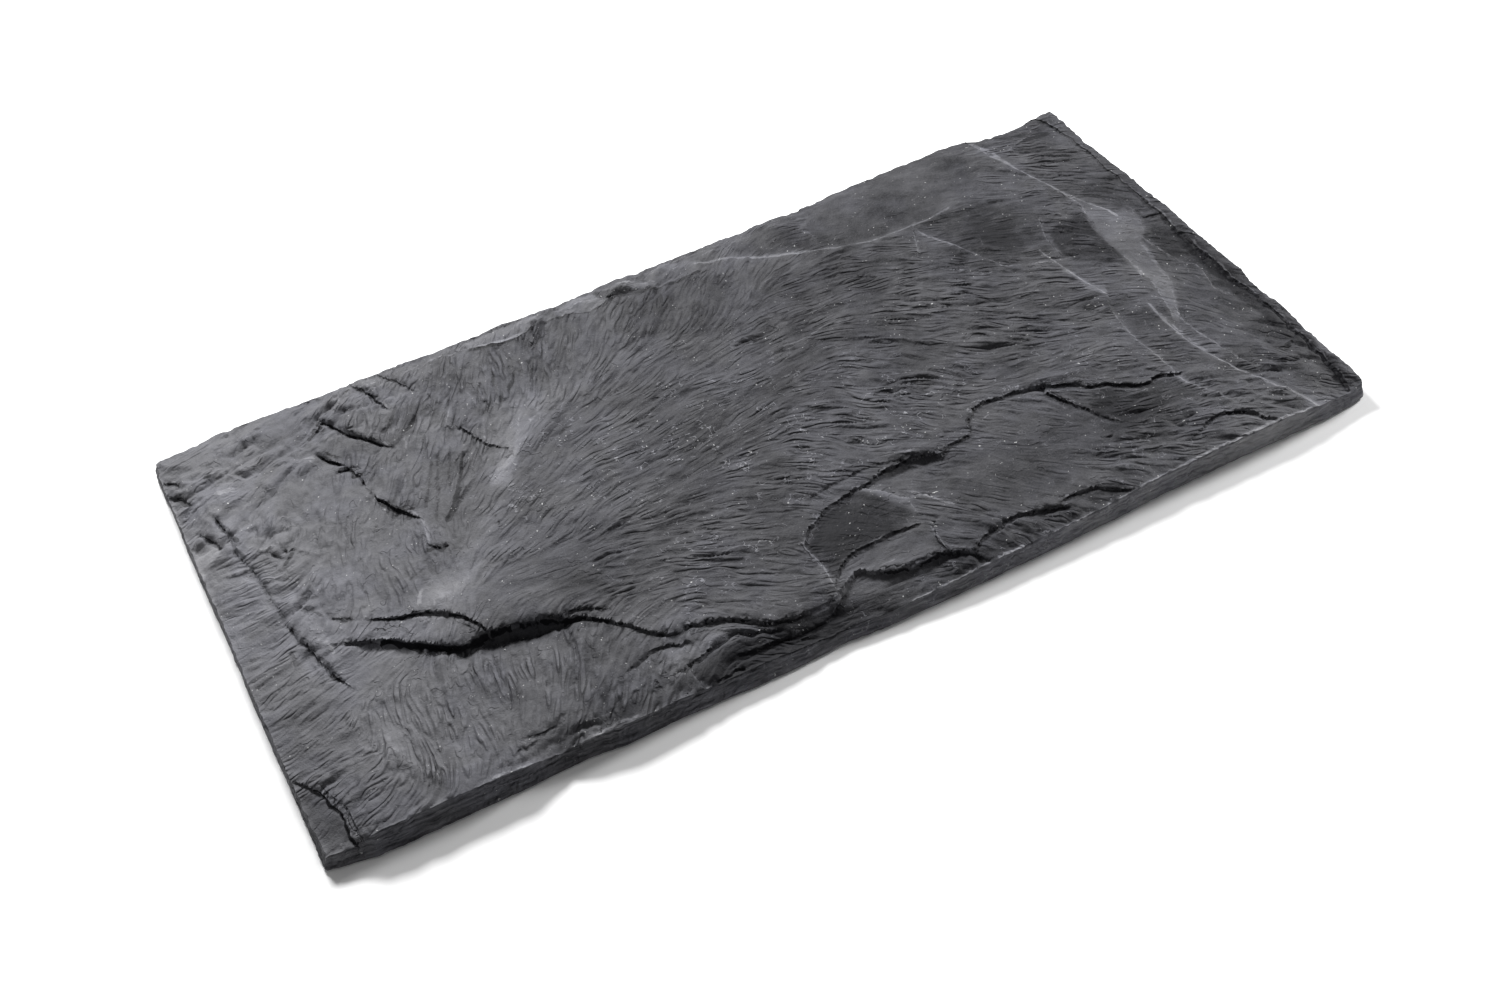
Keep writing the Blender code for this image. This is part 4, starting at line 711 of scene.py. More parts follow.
# The working grid over the face, and its corners on the outline
FACE_SPAN = (603.0, 318.0)
FACE_CORNER = (-301.5, -160.0)
OUTLINE_CORNERS = ((-302, -155), (302, -155), (302, 153), (-302, 153))
TANGENT_REACH = 6  # border points to each side that give its direction
RIM_AVERAGE = 9  # border points to each side in its broad level
RIM_SNAP = 2.2  # width over which the face meets each border point
RIM_WEAR = 1.6  # width of the paler stone along the top edge
CHIP_SIZE = 0.9  # how far a full chip goes in from the top edge
CHIP_DROP = 0.7  # and how far down; most chips are a part of a full one

# Heights of the face
CAP = 17.54  # no point rises over it
CAP_START = 16.8  # height from which points are eased towards the cap
FINE_LEVEL = 0.5  # usual height of the fine relief, taken off the face

# Steps of the face and worn lines
SOFT_STEP = 0.8  # half width from which a step is a slope with no edge
STEP_MARGIN = 2.6  # a step is left out beyond this many reaches
CORNER_WIDTH = 1.6  # width over which two lengths of a step are blended
SNAP = 0.5  # points nearer than this move on to an edge
FOOT_GROOVE = 0.55  # depth of the groove at a step's foot, for each mm of drop
EDGE_REACH = 12.0  # distance at which an edge is forgotten
MOST_DROP = 5.0  # drop that the mesh notes as 1
SHADE_LINE_EXTRA = 0.35  # added to each side of a painted shade crease, so that it shows
NO_LINE = -2.0  # depth noted where no worn line is near

# Table of the ripples' directions
FLOW_ORIGIN = (-310, -168)
FLOW_END = (314, 172)
FLOW_SPACING = 4.0

# Splinters
SPLINTER_SPACING = 5.5
SPLINTER_REACH = 8.0  # radius of the patch that each is drawn in

# The sides, from the top edge to the foot
WALL_RINGS = 9  # rings of faces on the sides
RING_DROP = 0.01  # depth of a ring in the rough block, in metres
FOOT_SET_BACK = 1.1  # how far the foot lies inside the widest ring
FOOT_HEIGHT = 1.6  # height from which the side turns in to the foot
SIDE_SHARE = 0.25  # share of a face's points on the side from which it belongs to it

# The underside's own grid
UNDERSIDE_COLUMNS = 150
UNDERSIDE_ROWS = 80
UNDERSIDE_SIZE = 0.97  # of the rough block's size
UNDERSIDE_INSET = 5.0  # how far its border lies inside the foot

MOST_TRIANGLES = 194000
SMOOTH_ANGLE = 38  # degrees between faces that are shaded as one

# The stone's two materials: shift of the tone, roughness, and share of the sheet edges
SIDE_SHIFT, SIDE_ROUGHNESS, SIDE_SHEETS = -0.06, 0.7, 1.9
FACE_SHIFT, FACE_SHEETS = 0.0, 0.2
STONE_SPECULAR = 0.15

# The shaders' ripples are noise averaged along the split
GRAIN_TAPS = 5  # taps to each side of the point
GRAIN_STRIDE = 1.6  # distance between them
GRAIN_FADE = 3.4  # taps over which the weight falls away

# Stage, in metres
FLOOR_SIZE = 8
FLOOR_CELLS = 24
FLOOR_LIP = 0.3  # height of the floor's turned-up border
WORLD_STRENGTH = 0.22

# Camera at the photograph's viewing angle: radians and metres
CAMERA_AZIMUTH = -0.4023
CAMERA_ELEVATION = 0.8005
CAMERA_ROLL = -0.11
CAMERA_TARGET = (-0.02420, -0.04320, -0.0004)
CAMERA_DISTANCE = 0.996268
SENSOR_WIDTH = 36.0  # millimetres


class SlabSettings(bpy.types.PropertyGroup):
    """Sizes of the slab and of its split face."""

    length: bpy.props.FloatProperty(
        name="Length", description="Overall length of the slab",
        default=0.600, min=0.1, unit="LENGTH")
    width: bpy.props.FloatProperty(
        name="Width", description="Overall width of the slab",
        default=0.3172, min=0.1, unit="LENGTH")
    height: bpy.props.FloatProperty(
        name="Height", description="Overall height, from the underside to the highest sheet",
        default=0.0174, min=0.005, unit="LENGTH")
    face_level: bpy.props.FloatProperty(
        name="Face level", description="Height that the steps and swells of the face start from",
        default=0.0136, unit="LENGTH")
    mesh_spacing: bpy.props.FloatProperty(
        name="Mesh spacing", description="Distance between points of the split face",
        default=0.0010, min=0.0004, unit="LENGTH")
    ripple_depth: bpy.props.FloatProperty(
        name="Ripple depth", description="Depth of the ripples that the split left",
        default=0.00110, unit="LENGTH")
    splinter_depth: bpy.props.FloatProperty(
        name="Splinter depth", description="Depth of the small broken sheet edges",
        default=0.00040, unit="LENGTH")
    ragged_step: bpy.props.FloatProperty(
        name="Ragged step", description="How far the edges of the sheets wander",
        default=0.0014, unit="LENGTH")
    rim_blend: bpy.props.FloatProperty(
        name="Rim blend", description="Width over which the face meets the top edge",
        default=0.013, unit="LENGTH")
    seed: bpy.props.IntProperty(name="Seed", description="Seed of the uneven details", default=8)


class StoneSettings(bpy.types.PropertyGroup):
    """Colours and finish of the slate."""

    dark: bpy.props.FloatVectorProperty(
        name="Dark slate", description="Colour of the darker stone",
        default=(0.0080, 0.0080, 0.0100), size=3, subtype="COLOR")
    pale: bpy.props.FloatVectorProperty(
        name="Pale slate", description="Colour of the paler stone",
        default=(0.145, 0.145, 0.156), size=3, subtype="COLOR")
    fleck: bpy.props.FloatVectorProperty(
        name="Fleck", description="Colour of the small pale flecks",
        default=(0.42, 0.42, 0.42), size=3, subtype="COLOR")
    roughness: bpy.props.FloatProperty(
        name="Roughness", description="Roughness of the split face", default=0.67,
        min=0, max=1, subtype="FACTOR")
    bump: bpy.props.FloatProperty(
        name="Ripple bump", description="Depth of the finest ripples in the surface",
        default=0.00200, unit="LENGTH")


class StageSettings(bpy.types.PropertyGroup):
    """Floor, lights and camera."""

    floor: bpy.props.FloatVectorProperty(
        name="Floor", description="Colour of the floor", default=(0.92, 0.92, 0.92), size=3,
        subtype="COLOR")
    softbox: bpy.props.FloatProperty(
        name="Softbox", description="Power of the softbox behind the slab", default=54.0,
        unit="POWER")
    key: bpy.props.FloatProperty(
        name="Key", description="Power of the light from the far right", default=27.0,
        unit="POWER")
    lens: bpy.props.FloatProperty(
        name="Lens", description="Focal length of the camera", default=44.83, unit="CAMERA")


def smooth(share):
    """Eased value from 0 to 1."""
    return share * share * (3 - 2 * share)


def blended(table, rows, columns, up, across):
    """Values between the points of a table, from its low and high rows and columns."""
    (low, high), (left, right) = rows, columns
    near = table[low, left] * (1 - across) + table[low, right] * across
    far = table[high, left] * (1 - across) + table[high, right] * across
    return near * (1 - up) + far * up


def uneven(x, y, size, seed):
    """Soft random values from -1 to 1 over the plan, with lumps of the given size."""
    rng = np.random.default_rng(seed)
    table = rng.uniform(-1, 1, (NOISE_CELLS, NOISE_CELLS))
    column, row = x / size + NOISE_START, y / size + NOISE_START
    left, low = np.floor(column).astype(int), np.floor(row).astype(int)
    across, up = smooth(column - left), smooth(row - low)
    rows = low % NOISE_CELLS, (low + 1) % NOISE_CELLS
    columns = left % NOISE_CELLS, (left + 1) % NOISE_CELLS
    return blended(table, rows, columns, up, across)


def layered(x, y, *layers):
    """Sum of soft random values over the plan: weight, size and seed of each layer."""
    return sum(weight * uneven(x, y, size, seed) for weight, size, seed in layers)


def uneven_along(along, size, seed):
    """Soft random values from -1 to 1 along a line."""
    return uneven(along, 0 * along, size, seed)


def in_oval(x, y, middle_x, middle_y, radius_u, radius_v, angle):
    """Plan points as seen from a turned oval, in its radii."""
    turn = math.radians(angle)
    u = ((x - middle_x) * math.cos(turn) + (y - middle_y) * math.sin(turn)) / radius_u
    v = ((y - middle_y) * math.cos(turn) - (x - middle_x) * math.sin(turn)) / radius_v
    return u, v


def mounds(x, y, table):
    """Sum of the soft oval mounds of a table at the plan points."""
    total = np.zeros(x.shape)
    for *oval, rise in table:
        u, v = in_oval(x, y, *oval)
        total += rise * np.exp(-(u * u + v * v))
    return total


def grain_at(x, y):
    """Twice the direction of the ripples as a vector, and their strength, at plan points."""
    cosine, sine, strength, weight = (np.zeros(x.shape) for _ in range(4))
    for grain_x, grain_y, angle, depth in GRAIN:
        near = 1 / ((x - grain_x) ** 2 + (y - grain_y) ** 2 + 60) ** 1.6
        cosine += near * math.cos(2 * math.radians(angle))
        sine += near * math.sin(2 * math.radians(angle))
        strength += near * depth
        weight += near
    angle = np.arctan2(sine, cosine)
    angle += layered(x, y, (0.5, 26, 3), (0.3, 9, 4))
    return np.cos(angle), np.sin(angle), strength / weight


def looked_up(table, origin, spacing, x, y):
    """Values of a table over the plan, eased between its points."""
    column = np.clip((x - origin[0]) / spacing, 0, table.shape[1] - 1.001)
    row = np.clip((y - origin[1]) / spacing, 0, table.shape[0] - 1.001)
    left, low = column.astype(int), row.astype(int)
    return blended(table, (low, low + 1), (left, left + 1), row - low, column - left)


def drawn_out(x, y, flow, size, length, seed):
    """Random values from about -1 to 1, drawn out along the ripples over a length."""
    total = uneven(x, y, size, seed)
    weight = 1.0
    stride = size * 0.55
    for way in (1, -1):
        place_x, place_y = x.copy(), y.copy()
        last_x, last_y = way * np.ones(x.shape), np.zeros(x.shape)
        for step in range(1, int(1.6 * length / stride)):
            cosine = looked_up(flow[0], FLOW_ORIGIN, FLOW_SPACING, place_x, place_y)
            sine = looked_up(flow[1], FLOW_ORIGIN, FLOW_SPACING, place_x, place_y)
            angle = np.arctan2(sine, cosine) / 2
            along_x, along_y = np.cos(angle), np.sin(angle)
            turned = np.where(along_x * last_x + along_y * last_y < 0, -1, 1)
            last_x, last_y = along_x * turned, along_y * turned
            place_x += stride * last_x
            place_y += stride * last_y
            share = math.exp(-((step * stride / length) ** 2))
            total += share * uneven(place_x, place_y, size, seed)
            weight += share * share
    return total / math.sqrt(weight)


def step_at(x, y, line, margin, wander):
    """Signed distance, drop and side of one step at the plan points near it."""
    line = np.array(line, float)
    near = (x > line[:, 0].min() - margin) & (x < line[:, 0].max() + margin)
    near &= (y > line[:, 1].min() - margin) & (y < line[:, 1].max() + margin)
    near = np.flatnonzero(near)
    points = np.column_stack([x[near], y[near]])
    ends = line[1:, :2] - line[:-1, :2]
    lengths = np.linalg.norm(ends, axis=1)
    ends /= lengths[:, None]
    sides = np.column_stack([ends[:, 1], -ends[:, 0]])
    corners = np.vstack([sides[:1], sides[:-1] + sides[1:], sides[-1:]])
    corners /= np.linalg.norm(corners, axis=1)[:, None]
    gaps, values = [], []
    for index, length in enumerate(lengths):
        start = line[index]
        offset = points - start[:2]
        share = np.clip(offset @ ends[index] / length, 0, 1)
        nearest = offset - share[:, None] * ends[index] * length
        distance = np.linalg.norm(nearest, axis=1)
        side = corners[index] + share[:, None] * (corners[index + 1] - corners[index])
        drop = start[2] + share * (line[index + 1, 2] - start[2])
        toward = side * np.sign(drop)[:, None]
        signed = distance * np.sign((nearest * toward).sum(axis=1))
        gaps.append(distance)
        values.append(np.column_stack([signed, np.abs(drop), toward]))
    gaps = np.array(gaps)
    pull = np.exp(-(gaps - gaps.min(axis=0)) / CORNER_WIDTH)
    signed, drops, lean_x, lean_y = (
        (pull[:, :, None] * np.array(values)).sum(axis=0) / pull.sum(axis=0)[:, None]).T
    return near, signed + wander[near], drops, np.column_stack([lean_x, lean_y])


def broken_edge(signed, width):
    """Profile of a broken edge: a sharp crest at 0, then a fall that eases out below."""
    return np.where(signed > 0, 2 * np.exp(-np.maximum(signed, 0) / width) - 1, 1.0)


def relief(x, y, settings):
    """Height of the face, sideways pull of its crests, and notes on the edges near by."""
    height = np.full(x.shape, settings.face_level * PER_METRE) + mounds(x, y, SWELLS)
    pull = np.zeros((len(x), 2))
    crest, foot = np.zeros(x.shape), np.zeros(x.shape)
    edge_gap, edge_drop = np.full(x.shape, EDGE_REACH), np.zeros(x.shape)
    ragged = settings.ragged_step * PER_METRE
    wander = ragged * layered(x, y, (0.75, 6.5, 11), (0.4, 2.6, 12))
    second = 1.4 + 1.2 * uneven(x, y, 14, 13)
    third = 2.8 + 1.8 * uneven(x, y, 10, 14)
    for width, reach_low, reach_high, line in (*STEPS.values(), *THIN_LINES.values()):
        margin = STEP_MARGIN * max(reach_low, reach_high)
        near, signed, drop, side = step_at(x, y, line, margin, wander)
        reach = np.where(signed > 0, reach_low, reach_high)
        far = np.abs(signed)
        if width < SOFT_STEP:
            snapped = np.where(far < 3 * SNAP, np.maximum(1.5 * far - 1.5 * SNAP, 0), far)
            snapped *= np.sign(signed)
            firm = np.clip(drop / 0.8, 0, 1)
            snapped = signed + (snapped - signed) * firm
            pull[near] += (snapped - signed)[:, None] * side
            # A tall step falls in three sheets, one after the other
            strong = np.clip((drop - 0.9) / 1.6, 0, 1)
            fall = width * 1.3
            sheets = (1 - 0.5 * strong) * broken_edge(snapped, fall)
            sheets += 0.3 * strong * broken_edge(snapped - second[near], fall)
            sheets += 0.2 * strong * broken_edge(snapped - third[near], fall)
            closer = np.abs(snapped) < np.abs(edge_gap[near])
            edge_gap[near[closer]] = snapped[closer]
            edge_drop[near[closer]] = drop[closer]
            pull[near] += (drop * 0.14 * np.exp(-((snapped / 0.8) ** 2)))[:, None] * side
        else:
            sheets = -np.tanh(signed / width)
        height[near] += drop / 2 * sheets * np.exp(-((far / reach) ** 1.4))
        if width < SOFT_STEP:
            # A narrow groove at its foot, and a broad one where it is tall
            depth = FOOT_GROOVE * np.minimum(drop, 2.4)
            height[near] -= depth * np.exp(-(((signed - 1.2) / 1.0) ** 2))
            deep = 0.45 * np.clip(drop - 2.2, 0, None)
            height[near] -= deep * np.exp(-(((signed - 3.0) / 3.2) ** 2))
        hard = np.clip(drop / 1.2, 0, 1.3)
        crest[near] += hard * np.exp(-(((signed + 0.4) / 0.8) ** 2))
        foot[near] += hard * np.exp(-(((signed - 1.4) / 1.5) ** 2))
    fade = np.clip((EDGE_REACH - np.abs(edge_gap)) / 2, 0, 1)
    notes = {"crest": np.clip(crest, 0, 1), "foot": np.clip(foot, 0, 1), "edge_gap": edge_gap,
             "edge_drop": edge_drop / MOST_DROP * fade}
    return height, pull, notes


def gap_to(x, y, line, margin):
    """The plan points near a line, and their distance to it."""
    line = np.array(line, float)
    low, high = line.min(axis=0) - margin, line.max(axis=0) + margin
    near = np.flatnonzero((x > low[0]) & (x < high[0]) & (y > low[1]) & (y < high[1]))
    points = np.column_stack([x[near], y[near]])
    gap = np.full(len(near), np.inf)
    for start, end in zip(line[:-1], line[1:]):
        along = end - start
        share = np.clip((points - start) @ along / (along @ along), 0, 1)
        gap = np.minimum(gap, np.linalg.norm(points - start - share[:, None] * along, axis=1))
    return near, gap


def worn_and_shade_lines(x, y):
    """Depth of each plan point in the nearest line, pale worn lines and creases of painted shade
    alike, and its strength: painted shade below 0.
    """
    depth, strength = np.full(x.shape, NO_LINE), np.zeros(x.shape)
    wander = layered(x, y, (0.35, 5, 71), (0.25, 2, 72))
    # Creases of painted shade count as lines of negative strength
    dark = ((half_width + SHADE_LINE_EXTRA, -worn, line) for half_width, worn, line in SHADE_LINES)
    for half_width, worn, line in (*PALE_LINES, *dark):
        near, gap = gap_to(x, y, line, 6)
        inside = half_width * (1 + 0.8 * wander[near]) - gap
        closer = inside > depth[near]
        depth[near[closer]] = inside[closer]
        strength[near[closer]] = worn
    return depth, strength


def areas_at(x, y):
    """Tone of the edged areas at the plan points, painted light and shade among it, and the depth
    of the ripples there.
    """
    tone, ripple = np.zeros(x.shape), np.ones(x.shape)
    wander = layered(x, y, (1.2, 7, 73), (0.7, 2.6, 74))
    for shade, calm, softness, outline in AREAS_TONE_LIGHT_AND_SHADE:
        near, gap = gap_to(x, y, (*outline, outline[0]), 3 * softness)
        inside = np.zeros(len(near), bool)
        for (ax, ay), (bx, by) in zip(outline, (*outline[1:], outline[0])):
            spans = (ay > y[near]) != (by > y[near])
            meet = ax + (y[near] - ay) * (bx - ax) / ((by - ay) or 1)
            inside ^= spans & (x[near] < meet)
        signed = np.where(inside, gap, -gap) + wander[near]
        share = smooth(np.clip(0.5 + signed / softness, 0, 1))
        tone[near] += shade * share
        ripple[near] *= 1 + (calm - 1) * share
    return tone, ripple


def scattered_marks(columns, rows, spacing, origin, pitch, seed):
    """Random places over the grid, and the generator for their other values."""
    rng = np.random.default_rng(seed)
    across = np.arange(origin[0], origin[0] + columns * pitch[0], spacing)
    up = np.arange(origin[1], origin[1] + rows * pitch[1], spacing)
    x, y = (part.ravel() for part in np.meshgrid(across, up))
    x = x + rng.uniform(-0.5, 0.5, x.shape) * spacing
    y = y + rng.uniform(-0.5, 0.5, y.shape) * spacing
    return x, y, rng


def add_marks(field, origin, pitch, x, y, angle, reach, shape):
    """Adds one mark at each place to the field, turned to its angle."""
    rows, columns = field.shape
    middle_column = np.round((x - origin[0]) / pitch[0]).astype(int)
    middle_row = np.round((y - origin[1]) / pitch[1]).astype(int)
    steps = range(-int(reach / min(pitch)), int(reach / min(pitch)) + 1)
    cosine, sine = np.cos(angle), np.sin(angle)
    for down in steps:
        row = middle_row + down
        for over in steps:
            if math.hypot(over, down) * min(pitch) > reach:
                continue
            column = middle_column + over
            inside = (row >= 0) & (row < rows) & (column >= 0) & (column < columns)
            offset_x = origin[0] + column * pitch[0] - x
            offset_y = origin[1] + row * pitch[1] - y
            along = offset_x * cosine + offset_y * sine
            across = offset_y * cosine - offset_x * sine
            value = shape(along, across)
            np.add.at(field, (row[inside], column[inside]), value[inside])


def terraces(values):
    """Saw-tooth of the values: it climbs fast and falls back slowly once in each whole step."""
    part = values - np.floor(values)
    return smooth(np.clip(part / 0.3, 0, 1)) - part


def fine_field(columns, rows, origin, pitch, settings, calm):
    """Ripples, small facets and splinters over the grid, in millimetres."""
    flow = grain_at(*np.meshgrid(*(
        np.arange(start, end, FLOW_SPACING) for start, end in zip(FLOW_ORIGIN, FLOW_END))))
    x, y = (part.ravel() for part in np.meshgrid(
        origin[0] + np.arange(columns) * pitch[0], origin[1] + np.arange(rows) * pitch[1]))
    strength = looked_up(flow[2], FLOW_ORIGIN, FLOW_SPACING, x, y) * calm
    strength = strength * np.clip(0.85 + 0.9 * uneven(x, y, 14, 61), 0.1, 1.5)
    fine = drawn_out(x, y, flow, size=1.7, length=7, seed=62)
    middle = drawn_out(x, y, flow, size=3.4, length=13, seed=63)
    coarse = drawn_out(x, y, flow, size=7.0, length=24, seed=64)
    ripples = 0.16 * np.abs(fine) + 1.0 * np.abs(middle) + 0.40 * coarse
    ripples = ripples + 0.22 * terraces(2.2 * coarse + 0.8 * middle)
    field = settings.ripple_depth * PER_METRE * (0.10 + strength) * ripples
    lumps = drawn_out(x, y, flow, size=11.0, length=20, seed=66)
    field += 0.40 * lumps + 0.26 * drawn_out(x, y, flow, size=5.0, length=6, seed=67)

    # Small facets, where the face is broken
    broken = np.clip(mounds(x, y, BROKEN), 0, 1)
    bent_x, bent_y = x + 4 * uneven(x, y, 13, 75), y + 4 * uneven(x, y, 13, 76)
    facets = 1.2 * np.abs(drawn_out(bent_x, bent_y, flow, size=9.0, length=14, seed=77))
    facets = facets + 0.5 * np.abs(uneven(bent_x, bent_y, 6, 78))
    facets = facets + 0.6 * terraces(1.6 * uneven(bent_x, bent_y, 17, 79))
    field += 1.7 * broken * facets
    field = field.reshape(rows, columns)

    # Splinters, each a short low step beside the ripples
    x, y, rng = scattered_marks(
        columns, rows, SPLINTER_SPACING, origin, pitch, settings.seed)
    cosine, sine, strength = grain_at(x, y)
    angle = np.arctan2(sine, cosine) / 2 + rng.normal(0, 0.3, x.shape)
    depth = settings.splinter_depth * PER_METRE * (0.2 + strength)
    depth *= rng.uniform(0, 1, x.shape) ** 2
    depth *= np.where(np.cos(angle + 0.8) > 0, 1, -1)
    length = rng.uniform(1.6, 7.0, x.shape)

    def splinter(along, across):
        bend = across - 0.03 * along * along
        fade = np.exp(-((along / length) ** 4) - np.abs(bend) / 2.0)
        return -depth * fade * np.tanh(bend / 0.4)

    add_marks(field, origin, pitch, x, y, angle, SPLINTER_REACH, splinter)
    return field


def outline_samples(first, last, count):
    """Outline values at equal distances from one outline point to another."""
    total = len(OUTLINE)
    picked = np.array([OUTLINE[index % total] for index in range(first, last + 1)])
    lengths = np.linalg.norm(np.diff(picked[:, :2], axis=0), axis=1)
    along = np.concatenate([[0], np.cumsum(lengths)])
    wanted = np.linspace(0, along[-1], count + 1)[:-1]
    return np.column_stack([np.interp(wanted, along, picked[:, k]) for k in range(4)])


def corner_indices():
    """Outline points at the near left, near right, far right and far left corners."""
    points = np.array(OUTLINE)[:, :2]
    return [int(np.argmin(np.linalg.norm(points - corner, axis=1)))
            for corner in OUTLINE_CORNERS]


def rim(columns, rows):
    """Top edge, widest ring and set-backs for each border point of the face, anticlockwise."""
    first, second, third, fourth = corner_indices()
    samples = np.vstack([
        outline_samples(first, second, columns), outline_samples(second, third, rows),
        outline_samples(third, fourth, columns),
        outline_samples(fourth, first + len(OUTLINE), rows)])
    along = np.arange(len(samples)) * 1.0
    ragged = layered(along, 0 * along, (0.30, 7, 21), (0.18, 2.6, 22))
    ahead, behind = (np.roll(samples[:, :2], way * TANGENT_REACH, axis=0) for way in (-1, 1))
    tangent = ahead - behind
    tangent /= np.linalg.norm(tangent, axis=1)[:, None]
    inward = np.column_stack([-tangent[:, 1], tangent[:, 0]])
    widest = samples[:, :2] + inward * np.abs(ragged)[:, None]
    chips = np.clip(uneven_along(along, 5, 23) - 0.35, 0, 1)
    inset = samples[:, 2] + CHIP_SIZE * chips + 0.3 * uneven_along(along, 2, 24)
    top = widest + inward * inset[:, None]
    level = samples[:, 3] + 0.25 * uneven_along(along, 4, 25) - CHIP_DROP * chips
    return {"widest": widest, "inward": inward, "inset": inset, "top": top, "level": level}


def patch(border, columns, rows):
    """Plan places of the whole grid, drawn in from its border."""
    near = border[:columns + 1]
    right = border[columns:columns + rows + 1]
    far = border[columns + rows:2 * columns + rows + 1][::-1]
    left = np.vstack([border[2 * columns + rows:], border[:1]])[::-1]
    s = np.linspace(0, 1, columns + 1)[None, :, None]
    t = np.linspace(0, 1, rows + 1)[:, None, None]
    level = (1 - t) * near[None] + t * far[None] + (1 - s) * left[:, None] + s * right[:, None]
    square = (1 - s) * (1 - t) * near[0] + s * (1 - t) * near[-1]
    square = square + (1 - s) * t * far[0] + s * t * far[-1]
    return level - square


def border_order(columns, rows):
    """Grid indices of the border, anticlockwise from the near left corner."""
    wide = columns + 1
    near = [index for index in range(columns)]
    right = [row * wide + columns for row in range(rows)]
    far = [rows * wide + columns - index for index in range(columns)]
    left = [(rows - row) * wide for row in range(rows)]
    return np.array(near + right + far + left)


def rim_distance(columns, rows, pitch):
    """Distance of each grid point to the border, and the nearest border point."""
    column = np.arange(columns + 1)[None, :] + np.zeros((rows + 1, 1))
    row = np.arange(rows + 1)[:, None] + np.zeros((1, columns + 1))
    gaps = np.stack([row * pitch[1], (columns - column) * pitch[0],
                     (rows - row) * pitch[1], column * pitch[0]])
    side = gaps.argmin(axis=0)
    places = np.stack([column, columns + row, 2 * columns + rows - column,
                       2 * columns + 2 * rows - row])
    place = np.take_along_axis(places, side[None], 0)[0].astype(int)
    return gaps.min(axis=0).ravel(), place.ravel() % (2 * columns + 2 * rows)


def fitted(points, settings):
    """Points in metres at the slab's real size, with the origin under its middle."""
    low, high = points.min(axis=0), points.max(axis=0)
    size = np.array([settings.length, settings.width, settings.height])
    origin = np.array([(low[0] + high[0]) / 2, (low[1] + high[1]) / 2, low[2]])
    return (points - origin) * size / (high - low)


def deselect():
    """Clears the selection, which the loaded frame leaves full."""
    if bpy.context.object and bpy.context.object.mode != "OBJECT":
        bpy.ops.object.mode_set(mode="OBJECT")
    bpy.ops.object.select_all(action="DESELECT")


def rough_block(columns, rows):
    """A closed block: a fine grid, its border pulled down in rings, and a base."""
    deselect()
    bpy.ops.mesh.primitive_grid_add(x_subdivisions=columns, y_subdivisions=rows, size=1)
    block = bpy.context.object
    bpy.ops.object.mode_set(mode="EDIT")
    bpy.ops.mesh.select_all(action="SELECT")
    bpy.ops.mesh.region_to_loop()
    for _ in range(WALL_RINGS):
        bpy.ops.mesh.extrude_edges_move(
            TRANSFORM_OT_translate={"value": (0, 0, -RING_DROP)})
    bpy.ops.object.mode_set(mode="OBJECT")
    base = -RING_DROP * (WALL_RINGS + 1)
    last = -RING_DROP * (WALL_RINGS - 0.5)
    bpy.ops.object.mode_set(mode="EDIT")
    bpy.ops.mesh.select_all(action="DESELECT")
    bpy.ops.mesh.primitive_grid_add(
        x_subdivisions=UNDERSIDE_COLUMNS, y_subdivisions=UNDERSIDE_ROWS, size=UNDERSIDE_SIZE,
        location=(0, 0, base))
    bpy.ops.mesh.flip_normals()
    bpy.ops.mesh.region_to_loop()
    edges = bmesh.from_edit_mesh(block.data)
    for edge in edges.edges:
        if all(base + 0.005 < vertex.co.z < last for vertex in edge.verts):
            edge.select_set(True)
    bmesh.update_edit_mesh(block.data)
    bpy.ops.mesh.bridge_edge_loops()
    bpy.ops.mesh.select_all(action="SELECT")
    bpy.ops.mesh.normals_make_consistent(inside=False)
    bpy.ops.object.mode_set(mode="OBJECT")
    return block


def place_on_rim(ring, share):
    """Points of the side at a share of the way down from the top edge to the foot."""
    level = ring["level"]
    height = level * (1 - share)
    above = np.clip((height - FOOT_HEIGHT) / np.maximum(level - FOOT_HEIGHT, 1), 0, 1)
    below = np.clip(1 - height / FOOT_HEIGHT, 0, 1)
    inset = ring["inset"] * above ** 0.7 + FOOT_SET_BACK * below ** 1.5
    along = np.arange(len(inset)) * 1.0
    fade = math.sin(math.pi * share) ** 0.5
    sheets = 0.30 * uneven(along / 11, height / 0.8, 1.0, 32)
    sheets = sheets + 0.8 * np.abs(uneven(along / 7, height / 3.0, 1.0, 33))
    sheets = sheets + 0.9 * np.clip(uneven(along / 16, height / 5, 1.0, 34), 0, 1)
    sheets = sheets + 0.25 * uneven(along / 2.2, height / 1.5, 1.0, 35)
    inset = inset + fade * (sheets - 0.35)
    plan = ring["widest"] + ring["inward"] * inset[:, None]
    return np.column_stack([plan, height])


def underside_height(x, y):
    """Height of the underside: flat, with shallow flakes lost from it."""
    height = np.zeros(x.shape)
    ragged = layered(x, y, (0.16, 14, 41), (0.08, 5, 42))
    for *oval, depth in FLAKES:
        u, v = in_oval(x, y, *oval)
        height = np.maximum(height, depth * np.clip((1 - np.hypot(u, v) + ragged) / 0.1, 0, 1))
    return height + 0.10 * np.clip(uneven(x, y, 9, 43), 0, 1)


def soft_along(values, window):
    """Values round a closed ring, averaged over a window."""
    kernel = np.hanning(2 * window + 3)[1:-1]
    padded = np.concatenate([values[-window:], values, values[:window]])
    return np.convolve(padded, kernel / kernel.sum(), mode="valid")


